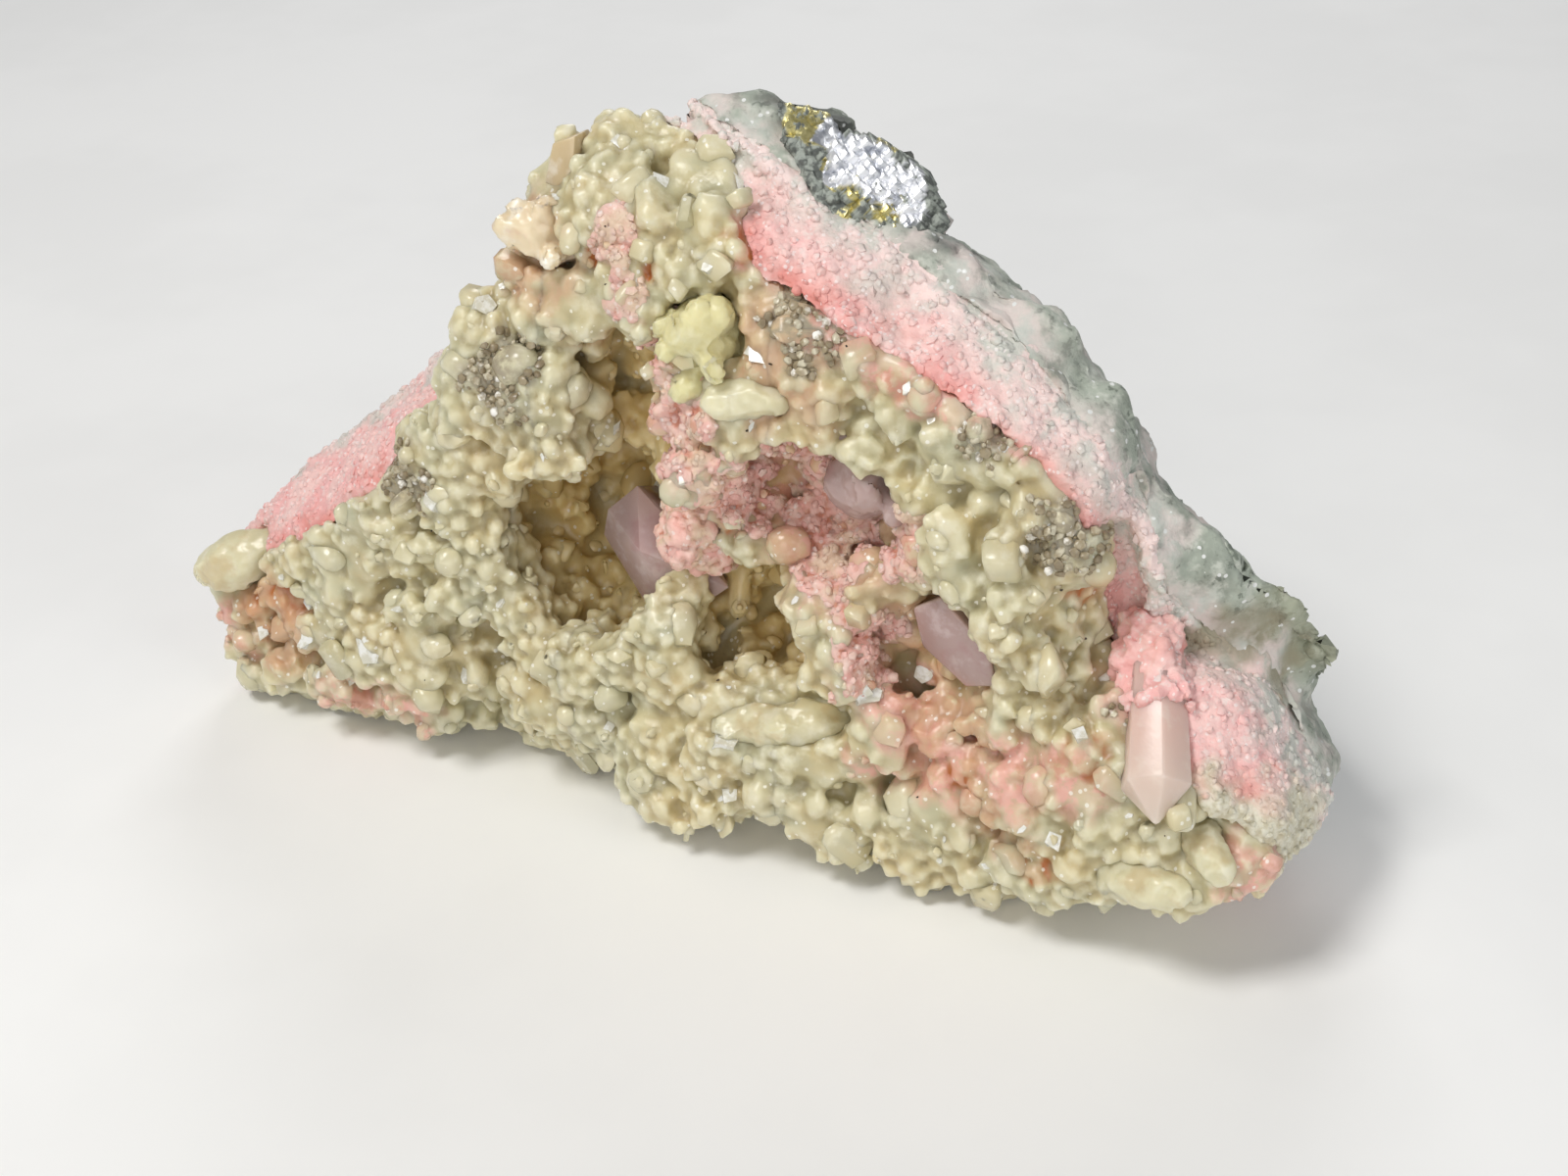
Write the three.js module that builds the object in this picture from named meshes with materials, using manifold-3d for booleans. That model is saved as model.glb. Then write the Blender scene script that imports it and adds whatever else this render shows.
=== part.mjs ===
// A hand-sized rhodochrosite specimen, in millimetres, +Z up, standing on its broken underside.
// X runs along the foot of the crystal-lined face, left to right, and the face looks towards -Y.
// The origin is below the middle of the stone, on the surface that it stands on.
//
// The stone is one broken lump of a mineral vein, built up from the wall of the vein to its open middle:
// grey wall rock, then pink rhodochrosite, then a pale calcite and quartz druse that lines a cavity.
// The lump is a union of convex blocks, and nested bowls cut it into those three layers.
// Larger crystals, and the metal ore in the rock's shoulder, are pieces of their own in fitted sockets.
import * as THREE from "three";
import { ConvexGeometry } from "three/addons/geometries/ConvexGeometry.js";
import { mergeVertices } from "three/addons/utils/BufferGeometryUtils.js";
import Module from "manifold-3d";

const wasm = await Module();
wasm.setup();

// Driving dimensions.
const GAP = 0.35; // clearance between two touching minerals
const BOWL_SEGMENTS = 40; // round the rim of a bowl
const BOWL_RINGS = 16; // from its deepest point to its mouth
const BOWL_REACH = 70; // how far a bowl's mouth runs out in front of its rim
const BOWL_FLARE = 0.25; // how much wider the mouth is than the rim
const HOLLOW_SEGMENTS = 16; // round a hollow of the cavity
const ROUNDED_DETAIL = 2; // facets of a rounded crystal
const QUARTZ_ROOT_SHARE = 0.8; // root radius over widest radius of a quartz crystal
const QUARTZ_TIP_SHARE = 1.1; // length of its tip over its widest radius
const VEIN_CENTRE = [3, 22]; // X and Z that the bowls are deepest at
const PINK_DEPTH_Y = 8; // Y of the deepest point of the pink layer's back
const DRUSE_DEPTH_Y = 1.5; // Y of the deepest point of the druse's back

// ---- Solids ----

// A geometry with nothing but its positions, and its shared vertices merged.
function bare(geometry) {
  const copy = geometry.clone();
  for (const name of Object.keys(copy.attributes)) {
    if (name !== "position") copy.deleteAttribute(name);
  }
  return mergeVertices(copy, 1e-4);
}

// A closed solid from a three.js geometry.
function solid(geometry) {
  const merged = bare(geometry);
  return new wasm.Manifold(
    new wasm.Mesh({
      numProp: 3,
      vertProperties: new Float32Array(merged.attributes.position.array),
      triVerts: new Uint32Array(merged.index.array),
    }),
  );
}

// The biggest body of a solid, as a three.js geometry with flat faces.
function geometryOf(manifold) {
  const bodies = manifold.decompose();
  bodies.sort((a, b) => b.volume() - a.volume());
  const mesh = bodies[0].getMesh();
  const geometry = new THREE.BufferGeometry();
  geometry.setAttribute("position", new THREE.BufferAttribute(mesh.vertProperties, 3));
  geometry.setIndex(new THREE.BufferAttribute(mesh.triVerts, 1));
  const faceted = geometry.toNonIndexed();
  faceted.computeVertexNormals();
  return faceted;
}

// A convex block through its corner points.
function block(corners) {
  return new ConvexGeometry(corners.map((corner) => new THREE.Vector3(...corner)));
}

// A rounded hollow: a ball stretched to its three half-sizes.
function hollow(centre, halfSizes) {
  const ball = new THREE.SphereGeometry(1, HOLLOW_SEGMENTS, HOLLOW_SEGMENTS / 2);
  return ball.scale(...halfSizes).translate(...centre);
}

// A shape that was made along +Y from the origin, laid from one point towards another.
function laid(geometry, from, to) {
  const start = new THREE.Vector3(...from);
  const along = new THREE.Vector3(...to).sub(start).normalize();
  const turn = new THREE.Quaternion().setFromUnitVectors(new THREE.Vector3(0, 1, 0), along);
  return geometry.applyQuaternion(turn).translate(...from);
}

function distance(from, to) {
  return new THREE.Vector3(...from).distanceTo(new THREE.Vector3(...to));
}

// A rounded calcite crystal from its root to its tip: a faceted ball, stretched.
function roundedCrystal(root, tip, radius) {
  const half = distance(root, tip) / 2;
  const ball = new THREE.IcosahedronGeometry(1, ROUNDED_DETAIL);
  return laid(ball.scale(radius, half, radius).translate(0, half, 0), root, tip);
}

// A six-sided quartz crystal from its root to the point of its tip.
function quartzCrystal(root, tip, radius) {
  const length = distance(root, tip);
  const profile = [
    [0, 0],
    [radius * QUARTZ_ROOT_SHARE, 0],
    [radius, length - radius * QUARTZ_TIP_SHARE],
    [0, length],
  ];
  const lathe = new THREE.LatheGeometry(profile.map(([r, y]) => new THREE.Vector2(r, y)), 6);
  return laid(lathe, root, tip);
}

// The same shape with clearance all round, to cut its socket with.
function grown(geometry) {
  geometry.computeBoundingBox();
  const centre = geometry.boundingBox.getCenter(new THREE.Vector3());
  const size = geometry.boundingBox.getSize(new THREE.Vector3());
  const [x, y, z] = size.toArray().map((side) => (side + 2 * GAP) / side);
  return geometry.clone().translate(-centre.x, -centre.y, -centre.z).scale(x, y, z).translate(...centre);
}

// A bowl that opens towards -Y: a unit ball whose back half is dished from the rim to its deepest point,
// and whose front half runs on past the rim, so that the bowl takes in all that stands in front of it.
function bowl(rimPoints, depthY) {
  const rim = new THREE.CatmullRomCurve3(rimPoints.map((p) => new THREE.Vector3(...p)), true);
  const ball = bare(new THREE.SphereGeometry(1, BOWL_SEGMENTS, BOWL_RINGS));
  const vertex = new THREE.Vector3();
  for (let i = 0; i < ball.attributes.position.count; i++) {
    vertex.fromBufferAttribute(ball.attributes.position, i);
    const turn = Math.atan2(vertex.z, vertex.x) / (2 * Math.PI);
    const edge = rim.getPoint((turn + 1) % 1);
    const spread = Math.min(1, Math.hypot(vertex.x, vertex.z));
    const ahead = Math.max(0, -vertex.y);
    const width = ahead > 0 ? spread ** 0.25 * (1 + BOWL_FLARE * ahead) : spread;
    const y = ahead > 0 ? edge.y - BOWL_REACH * ahead : depthY + (edge.y - depthY) * (1 - vertex.y);
    ball.attributes.position.setXYZ(
      i,
      VEIN_CENTRE[0] + (edge.x - VEIN_CENTRE[0]) * width,
      y,
      VEIN_CENTRE[1] + (edge.z - VEIN_CENTRE[1]) * width,
    );
  }
  return solid(ball);
}

// A rim moved outwards, across the face, by the clearance.
function clearOf(rimPoints) {
  return rimPoints.map(([x, y, z]) => {
    const away = new THREE.Vector2(x - VEIN_CENTRE[0], z - VEIN_CENTRE[1]).setLength(GAP);
    return [x + away.x, y, z + away.y];
  });
}

// ---- The whole lump, as convex blocks of broken stone ----

const middle = block([
  [-9.8, -10.5, 57], [-5, -7, 57.5], [4, -5, 57.5], [15, -4, 52], [19, -5, 50.2], [24, -5.6, 48.8],
  [29, -5.8, 45.8], [33, -5.8, 41.6], [35.5, -6.3, 37], [-10.5, -14.5, 50.5], [-4, -15, 53], [6, -14, 52.5],
  [17, -14, 47], [27, -14, 42.5], [34, -13, 37], [-17, -18.5, 42], [-9, -19, 36], [-19, -19, 24],
  [6, -17, 36], [30, -16, 24], [20, -18, 12], [-16, -19, 8], [30, -15, 2], [-20, -14, 1],
  [28, -12, 0], [-22, -12, 0], [-12, 4, 44], [2, 5, 50], [18, 5, 44.5], [31, 4, 33],
  [-20, 12, 28], [2, 16, 34], [22, 14, 24], [-20, 20, 8], [8, 21.5, 14], [30, 17, 8],
  [-18, 18, 0], [8, 20, 0], [30, 14, 0],
]);

const leftArm = block([
  [-49.5, -14, 14.5], [-44, -14, 19], [-40, -12, 22.5], [-35, -9, 27], [-29, -7, 32.5], [-21, -6, 37.5],
  [-49, -18, 11], [-40, -19, 16], [-26, -19.5, 28], [-17, -19.5, 36], [-50, -17.5, 4],
  [-42, -20.5, 5], [-24, -21, 6], [-16, -18, 6], [-49, -17, 0.5], [-46, -16, 0], [-24, -18, 3],
  [-46, -8, 0], [-20, -10, 0], [-45, -6, 9], [-36, 4, 14], [-28, 9, 20], [-8, 7, 32],
  [-38, 8, 0], [-22, 17, 0], [-10, 18, 0], [-10, 18, 11],
]);

const rightArm = block([
  [34.5, -6.5, 38], [37.5, -6.5, 34], [40.5, -5.2, 30], [43.4, -4, 27], [46.5, -1.8, 25], [48.5, 0, 20.5],
  [46.5, -1, 16], [43, -5, 19], [40, -4.5, 24], [34, -12, 34], [34, -10, 24], [30, -8, 16],
  [30, 3, 31], [37, 7, 22], [43, 7, 16], [43, 8, 9], [32, 14, 10], [30, 12, 20],
]);

const lowerRight = block([
  [33, -11, 24], [39, -11.5, 23], [43.5, -10, 21.5], [46.7, -3.5, 17], [49.6, -1.5, 11.5],
  [49.6, -5, 8.5], [50, -9, 8.5], [49.7, -13, 9.5], [46.5, -17, 9], [42.5, -19, 8], [36, -19.5, 6],
  [31, -19, 4.5], [27, -17.5, 2], [48.5, -13, 14], [45, -16, 16], [30, -17, 20], [20, -18, 10],
  [28, -12, 0], [30, 8, 0], [40, 6, 3], [47, 2, 8], [44, 6, 14], [30, 0, 24],
]);

const lipLeft = block([
  [-9, -17, 5], [-4, -20, 4], [2, -21.5, 3], [8.5, -20, 5.5], [-8, -18, 11], [3, -20.5, 11],
  [10, -18.5, 12.5], [-6, -12, 10.5], [10, -12, 12.5], [-6, -12, 1], [8, -12, 3],
]);

const lipRight = block([
  [7.5, -20, 5.6], [15, -19, 4.5], [22, -18, 2.5], [8, -19.2, 12], [12, -18.5, 13], [20, -17.5, 12],
  [8, -12, 12.5], [14, -12, 13], [8, -12, 4], [22, -12, 1],
]);

const rib = block([
  [21, -15, 41], [25, -15, 42], [30, -14.5, 39], [20.5, -16, 34], [24, -18, 33], [30, -18, 33],
  [33, -15, 31], [24.5, -17, 26], [31, -18, 25], [33, -15, 24], [28, -17, 18], [33, -16.5, 18],
  [24, -10, 40], [32, -10, 30], [22, -10, 30], [30, -10, 18],
]);

const oreShoulder = block([
  [-2.5, -5, 58.5], [1.5, -4.5, 60], [5.5, -3.5, 60], [9.5, -3.5, 57.5], [13.5, -3, 56],
  [16.5, -2.5, 53.5], [18.2, -4, 50.5], [8, -9, 55], [15, -8, 50.5], [1, -8, 58], [0, 3, 55],
  [8, 5, 53], [14, 4, 49], [4, 0, 48], [14, 0, 46],
]);

// The open middle of the vein: two caves behind the front lip, a cleft above the left one,
// and shallow bays round the lavender crystals.
const cavity = [
  hollow([-9, -15.5, 24.5], [8, 12, 9.5]),
  hollow([0, -18.5, 27.5], [6, 8, 6.5]),
  hollow([-3.5, -17, 37], [5, 8.5, 8.5]),
  hollow([6.5, -15.5, 20.5], [6.5, 10, 6.5]),
  hollow([11.5, -18.5, 15.5], [7, 4, 3.2]),
  hollow([12, -18, 31.5], [9, 8, 7.5]),
  hollow([22.5, -19, 22.5], [6.5, 7, 7.5]),
  hollow([35, -13.5, 28], [3, 6.5, 8]),
];

const lump = wasm.Manifold.union(
  [middle, leftArm, rightArm, lowerRight, lipLeft, lipRight, rib, oreShoulder].map(solid),
).subtract(wasm.Manifold.union(cavity.map(solid)));

// ---- The layers ----

// Where the pink layer meets the rock, anticlockwise from the right as seen from the front.
const rockRim = [
  [44, -5, 20], [38, -7, 27], [36, -8, 34], [31, -7.5, 41], [25, -7, 46], [17, -7, 50],
  [9, -8, 55], [-1, -8, 59], [-8, -7, 59], [-14, -8, 53], [-22, -7, 41], [-30, -8, 33],
  [-40, -12, 23], [-49, -14, 16], [-54, -13, 6], [-47, -12, -3], [-30, -12, -4], [-8, -12, -4],
  [14, -12, -4], [34, -11, -4], [46, -9, 2], [51, -8, 8], [49, -9, 15],
];

// Where the druse meets the pink layer, the same way round.
const pinkRim = [
  [37, -13, 20], [33.5, -13, 27], [33.5, -12.5, 34], [29, -13, 40], [24, -13, 43], [15, -13, 47],
  [7, -13, 51], [5, -12, 55], [-3, -10, 58.5], [-10, -11, 57.5], [-16, -14, 47], [-20.5, -14.5, 36.5],
  [-25, -16, 28.5], [-36, -17.5, 19.5], [-48, -17, 12.5], [-50, -16, 3], [-38, -16, -2], [-20, -15, -3],
  [0, -15, -3], [22, -14, -3], [42, -14, 2], [49, -13, 9], [45, -14, 15],
];

// ---- The pieces set in them ----

const galena = block([
  [9.4, -5.4, 57], [11.6, -3.4, 57], [15.8, -2.6, 54.4], [17.8, -4, 51], [15.2, -6.6, 51.6],
  [11.8, -7.2, 54], [11, -1, 53], [15, -1, 50.5],
]);

const chalcopyrite = block([
  [5.4, -5.2, 59.8], [8.6, -3.6, 58.8], [9.2, -6.4, 56.8], [11.4, -7.8, 53.8], [14.8, -7.6, 50.6],
  [7, -7.4, 57.8], [10.4, -8.6, 53.4], [11.6, -4, 51.6], [7.6, -3.4, 55.6],
]);

const quartzPoint = quartzCrystal([36.8, -9.5, 24], [42.2, -20, 15.6], 2.7);

// Name, shape and colour of each crystal that stands out of the druse.
const crystals = [
  ["quartz_point", quartzPoint, 0xe8c8c4],
  ["left_end_crystal", roundedCrystal([-40.5, -15, 16.5], [-49.8, -20.5, 13.2], 2.9), 0xd8d6ac],
  ["crest_knob_crystal", roundedCrystal([-6.5, -11, 48.6], [-12.8, -17.4, 52], 2.3), 0xddd0b6],
  ["crest_blade_crystal", block([
    [-9.9, -12.6, 57], [-8.2, -12, 57.6], [-10.6, -13.2, 54], [-8.2, -13.2, 53.4],
    [-9, -9, 57], [-8.6, -9, 53.4],
  ]), 0xc9b69c],
  ["yellow_calcite", roundedCrystal([4.6, -10.5, 42.6], [4.2, -19, 47.6], 3.3), 0xdfe0a0],
  ["ceiling_crystal", roundedCrystal([12.4, -14, 41], [5.4, -18.8, 41.6], 1.6), 0xd8d4b8],
  ["rhodochrosite_ball", roundedCrystal([1, -8, 24], [1, -17.6, 28.4], 3.1), 0xe5a89c],
  ["lavender_block", block([
    [-7.6, -14, 26.8], [-5.2, -13, 29], [-8.6, -13.6, 24], [-3.9, -15.4, 24.6], [-4.4, -14, 17.8],
    [-1.2, -14.4, 18.2], [2.4, -12.6, 21.2], [-2, -12.2, 25], [-6, -4.5, 22], [-9, -5, 24],
    [-3, -5, 18],
  ]), 0xc9b2b4],
  ["lavender_upper", roundedCrystal([12.6, -6, 31.6], [17.4, -15.6, 35.4], 3.4), 0xb98f98],
  ["lavender_slab", block([
    [20.6, -15.6, 25.8], [23, -15.6, 27.4], [27, -16, 24.2], [27.6, -15.8, 20.8], [25, -15.8, 20],
    [21.2, -15.4, 22.4], [22, -9, 25], [26, -10, 21],
  ]), 0xb79aa2],
  ["lip_crystal", roundedCrystal([4, -19.2, 12.4], [15.2, -16, 14], 1.9), 0xdcd8b0],
  ["foot_crystal_left", roundedCrystal([36.6, -18.2, 8.2], [45, -19.6, 9.8], 1.6), 0xd8d2b8],
  ["foot_crystal_right", roundedCrystal([42.4, -15.2, 13.2], [47.2, -18.6, 11.2], 1.6), 0xdfd9c4],
];

const galenaSocket = solid(grown(galena));
const oreSockets = wasm.Manifold.union([galenaSocket, solid(grown(chalcopyrite))]);
const sockets = crystals.map(([, shape]) => solid(grown(shape)));
const allSockets = wasm.Manifold.union([oreSockets, ...sockets]);

const wallRock = lump
  .subtract(bowl(clearOf(rockRim), PINK_DEPTH_Y + GAP))
  .subtract(allSockets);
const pinkLayer = lump
  .intersect(bowl(rockRim, PINK_DEPTH_Y))
  .subtract(bowl(clearOf(pinkRim), DRUSE_DEPTH_Y + GAP))
  .subtract(allSockets);
const druse = lump.intersect(bowl(pinkRim, DRUSE_DEPTH_Y)).subtract(allSockets);

// A crystal keeps clear of those before it in the list.
function crystalSolid(shape, i) {
  return sockets.slice(0, i).reduce((crystal, socket) => crystal.subtract(socket), solid(shape));
}

function mesh(name, manifold, color, roughness, metalness = 0) {
  const made = new THREE.Mesh(
    geometryOf(manifold),
    new THREE.MeshStandardMaterial({ color, roughness, metalness }),
  );
  made.name = name;
  return made;
}

const specimen = new THREE.Group();
specimen.add(
  mesh("wall_rock", wallRock, 0x8d958c, 0.85),
  mesh("rhodochrosite_layer", pinkLayer, 0xe3a0a4, 0.6),
  mesh("calcite_druse", druse, 0xcfcaa8, 0.4),
  mesh("galena", solid(galena), 0xb8bcc4, 0.3, 1),
  mesh("chalcopyrite", solid(chalcopyrite).subtract(galenaSocket), 0xb8a44c, 0.35, 1),
  ...crystals.map(([name, shape, color], i) => mesh(name, crystalSolid(shape, i), color, 0.3)),
);

export default specimen;
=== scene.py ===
# %% [markdown]
# # A rhodochrosite specimen
#
# A palm-sized lump, broken out of a mineral vein. Its back is grey wall rock, a band of pink rhodochrosite
# lies on that, and a crust of cream calcite and quartz crystals, which is called a druse, lines the hollow
# at the front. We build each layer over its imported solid, grow the crystals on it, and then give every
# mineral its own finish.

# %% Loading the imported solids
import math

import bpy
import numpy as np
from mathutils import Matrix, Vector
from mathutils.bvhtree import BVHTree
from mathutils.kdtree import KDTree


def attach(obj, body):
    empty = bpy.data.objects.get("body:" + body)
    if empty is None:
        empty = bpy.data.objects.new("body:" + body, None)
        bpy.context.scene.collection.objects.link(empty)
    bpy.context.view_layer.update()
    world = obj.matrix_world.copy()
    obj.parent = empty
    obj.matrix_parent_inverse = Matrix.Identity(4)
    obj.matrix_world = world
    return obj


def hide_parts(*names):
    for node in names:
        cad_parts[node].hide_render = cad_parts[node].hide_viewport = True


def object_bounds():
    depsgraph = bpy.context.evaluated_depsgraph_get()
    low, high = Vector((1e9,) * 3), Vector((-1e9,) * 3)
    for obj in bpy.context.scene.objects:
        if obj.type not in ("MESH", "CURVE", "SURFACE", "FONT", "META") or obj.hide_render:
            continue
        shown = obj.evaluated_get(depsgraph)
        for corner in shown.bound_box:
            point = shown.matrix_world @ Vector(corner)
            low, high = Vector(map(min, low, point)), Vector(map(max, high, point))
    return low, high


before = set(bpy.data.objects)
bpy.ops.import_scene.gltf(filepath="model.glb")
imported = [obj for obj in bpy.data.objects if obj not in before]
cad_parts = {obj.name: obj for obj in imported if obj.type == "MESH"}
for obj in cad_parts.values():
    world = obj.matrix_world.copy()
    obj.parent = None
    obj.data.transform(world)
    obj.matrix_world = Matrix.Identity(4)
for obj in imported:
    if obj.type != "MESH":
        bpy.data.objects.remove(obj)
cad_low, cad_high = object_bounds()
MM = 0.001
print("solids:", len(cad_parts), "box in mm:", [round(v / MM, 1) for v in cad_high - cad_low])

# %% [markdown]
# ## The camera and the room
#
# The stone is seen from its front right and from above, as a collector holds a piece to look into its
# hollow. The camera is placed in millimetres from the foot of the stone and turned a little about its own
# axis. The room is a pale floor under one big soft lamp, with two weaker ones to fill the shadows.

# %% The camera
CAMERA_PLACE = Vector((90.6, -145.5, 120.4)) * MM
CAMERA_LOOK = Vector((-0.4491, 0.7193, -0.5299)).normalized()
CAMERA_ROLL = math.radians(-4.04)
LENS = 53.84

camera_data = bpy.data.cameras.new("camera")
camera_data.lens = LENS
camera_data.clip_start = 0.01
camera = bpy.data.objects.new("camera", camera_data)
bpy.context.scene.collection.objects.link(camera)
level = CAMERA_LOOK.to_track_quat("-Z", "Y").to_matrix().to_4x4()
camera.matrix_world = Matrix.Translation(CAMERA_PLACE) @ level @ Matrix.Rotation(CAMERA_ROLL, 4, "Z")
bpy.context.scene.camera = camera
print("camera", round(CAMERA_PLACE.length / MM), "mm from the foot of the stone")

# %% The floor and the lamps
MIDDLE = Vector((0, 0, 0.03))
KEY_LAMP = (-0.12, -0.22, 0.48)
SKY, SKY_STRENGTH = (0.92, 0.95, 1, 1), 0.17

bpy.ops.object.select_all(action="DESELECT")
bpy.ops.mesh.primitive_plane_add(size=3)
floor = bpy.context.object
floor.name = "floor"


def lamp(name, place, size, power, tint=(1, 1, 1)):
    """A square soft lamp that faces the stone. Its place is in metres."""
    data = bpy.data.lights.new(name, "AREA")
    data.size = size
    data.energy = power
    data.color = tint
    made = bpy.data.objects.new(name, data)
    bpy.context.scene.collection.objects.link(made)
    made.location = place
    made.rotation_euler = (MIDDLE - Vector(place)).to_track_quat("-Z", "Y").to_euler()
    return made


lamp("key_lamp", KEY_LAMP, 0.16, 1.6, (1, 0.985, 0.96))
lamp("side_lamp", (0.50, -0.10, 0.26), 0.25, 0.6, (0.97, 0.985, 1))
lamp("front_lamp", (0.16, -0.42, 0.20), 0.30, 0.7, (1, 0.98, 0.95))
lamp("back_lamp", (-0.20, 0.45, 0.35), 0.25, 0.9)
world = bpy.data.worlds.new("pale_room")
world.use_nodes = True
background = world.node_tree.nodes["Background"]
background.inputs["Color"].default_value = SKY
background.inputs["Strength"].default_value = SKY_STRENGTH
bpy.context.scene.world = world
bpy.context.scene.view_settings.view_transform = "Standard"

# %% [markdown]
# ## Tools for the bench
#
# Modifiers do the heavy work here, and each is applied at once, so that the next step starts from a plain
# mesh. Points are read and written as one numpy array in millimetres, because a layer of this stone has
# tens of thousands of them. A tree answers quickly which spot of a mesh is nearest to a point.

# %% Choosing a piece and applying a modifier
def choose(piece):
    bpy.ops.object.select_all(action="DESELECT")
    piece.select_set(True)
    bpy.context.view_layer.objects.active = piece


def finish_with(piece, kind, **settings):
    modifier = piece.modifiers.new(kind.lower(), kind)
    for key, value in settings.items():
        setattr(modifier, key, value)
    choose(piece)
    bpy.ops.object.modifier_apply(modifier=modifier.name)


def vertex_values(piece, what):
    values = np.empty(len(piece.data.vertices) * 3, np.float32)
    piece.data.vertices.foreach_get(what, values)
    return values.reshape(-1, 3).astype(float)


def points_of(piece):
    return vertex_values(piece, "co") / MM


def set_points(piece, points):
    piece.data.vertices.foreach_set("co", (points * MM).astype(np.float32).ravel())
    piece.data.update()


def normals_of(piece):
    return vertex_values(piece, "normal")


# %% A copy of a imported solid, ready to be shaped
SAME_PLACE = 1e-6


def solid_copy(node, name, flat=None):
    """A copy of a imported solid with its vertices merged, and faces that bend less than flat dissolved."""
    piece = bpy.data.objects.new(name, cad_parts[node].data.copy())
    bpy.context.scene.collection.objects.link(piece)
    piece.data.name = name
    piece.data.materials.clear()
    choose(piece)
    bpy.ops.object.mode_set(mode="EDIT")
    bpy.ops.mesh.select_all(action="SELECT")
    bpy.ops.mesh.remove_doubles(threshold=SAME_PLACE)
    if flat:
        bpy.ops.mesh.dissolve_limited(angle_limit=flat)
    bpy.ops.object.mode_set(mode="OBJECT")
    return piece


def stone_from(node, name, voxel, swell=0.0):
    """A copy of a node as an even mesh. swell is how far it grows first, to close the fitted gap."""
    piece = solid_copy(node, name)
    if swell:
        finish_with(piece, "DISPLACE", strength=swell * MM, mid_level=0)
    finish_with(piece, "REMESH", mode="VOXEL", voxel_size=voxel * MM)
    print(name, "starts with", len(piece.data.polygons), "faces")
    return piece


def tree_of(piece):
    mesh = piece.data
    return BVHTree.FromPolygons([v.co for v in mesh.vertices], [p.vertices for p in mesh.polygons])


LAYERS = ("wall_rock", "rhodochrosite_layer", "calcite_druse")
BIG_CRYSTALS = [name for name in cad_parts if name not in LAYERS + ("galena", "chalcopyrite")]
TREES = {name: tree_of(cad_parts[name]) for name in (*LAYERS, *BIG_CRYSTALS)}


def distance_to(points, *nodes):
    """How far each point is from the nearest of these nodes, in millimetres."""
    return np.array([min(TREES[n].find_nearest(Vector(p * MM))[3] for n in nodes) for p in points]) / MM


def faces_into(piece, *nodes):
    """Marks the vertices whose normals run straight into one of these nodes, so that nothing sees them."""
    reach = 1.2 * MM
    marks = []
    for p, n in zip(points_of(piece) * MM, normals_of(piece)):
        start, way = Vector(p - n * reach / 2), Vector(n)
        marks.append(any(TREES[node].ray_cast(start, way, reach * 1.5)[0] is not None for node in nodes))
    return np.array(marks)


def settle(points, node, proud, give):
    """Draws points back to a node. Of what stands out by more than proud millimetres, the share give stays."""
    moved = points.copy()
    for i, p in enumerate(points):
        at, normal, _, away = TREES[node].find_nearest(Vector(p * MM))
        excess = away / MM - proud
        if excess > 0:
            out = Vector(p * MM) - at
            if out.dot(normal) > 0:
                moved[i] -= np.array(out.normalized()) * excess * (1 - give)
    return moved


# %% [markdown]
# ## Nature's unevenness
#
# Minerals vary smoothly from place to place. A handful of sine waves that run in random directions add up
# to a soft, even noise, with one number for its size. Everything random has a fixed seed, so that chance
# falls the same way each time.

# %% Smooth noise
def ripple(points, size, seed, waves=14):
    """Soft noise from about -1 to 1, whose bumps are size millimetres apart."""
    draw = np.random.default_rng(seed)
    ways = draw.normal(size=(waves, 3))
    ways /= np.linalg.norm(ways, axis=1)[:, None]
    pace = draw.uniform(0.7, 1.4, waves)
    phase = draw.uniform(0, 2 * math.pi, waves)
    total = np.sin(points @ (ways * (pace * 2 * math.pi / size)[:, None]).T + phase).sum(1)
    return total / math.sqrt(waves)


def ease(value, low, high):
    """Rises softly from 0 at low to 1 at high."""
    t = np.clip((value - low) / (high - low), 0, 1)
    return t * t * (3 - 2 * t)


# %% [markdown]
# ## Where the minerals lie
#
# The druse isn't one colour. Rhodochrosite blushes through it in patches, iron has rusted in its deepest
# cracks, and a brown bloom with dark specks lies on some crystals. The band has its own patches, pale or
# sugary, and the gully at the right end gets a grey-brown painted shadow on the rock and the band. Each patch
# is a place and a radius, in millimetres, and noise breaks up its edge. The caves are the hollows of the
# cavity, each a place and three half widths; deep in them the druse gets a warm painted light, which lifts the
# shade there.

# %% Patches of colour
BLUSH = [
    ((3, -17, 38), 3.5), ((4, -14.5, 33.5), 5), ((9, -12, 33), 5), ((13, -12, 27), 5), ((20, -16, 31), 3),
    ((15, -14.5, 24), 4), ((-3.5, -15, 52), 2.2), ((-1.4, -16, 47.7), 2), ((0, -16, 45), 1.8),
    ((2, -16.5, 42), 2.4), ((20, -16, 17), 3.6), ((24, -17, 13), 3.6), ((30, -18, 15), 3.6),
    ((35, -17, 16), 3.2), ((17, -17, 20.5), 3), ((-28, -21, 5), 3.4), ((-33, -21, 4.5), 3.2),
    ((-48, -18, 7), 3), ((48, -15, 10), 3.4), ((8, -13, 52), 2.6), ((18, -17, 12), 2.6),
    ((38.6, -12.4, 22), 4), ((15, -14.4, 47.4), 2.6), ((19.4, -14, 45), 2.6), ((23.6, -14, 43.4), 2.4),
    ((28, -14, 41), 2), ((32, -12, 36.5), 2),
]
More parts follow.
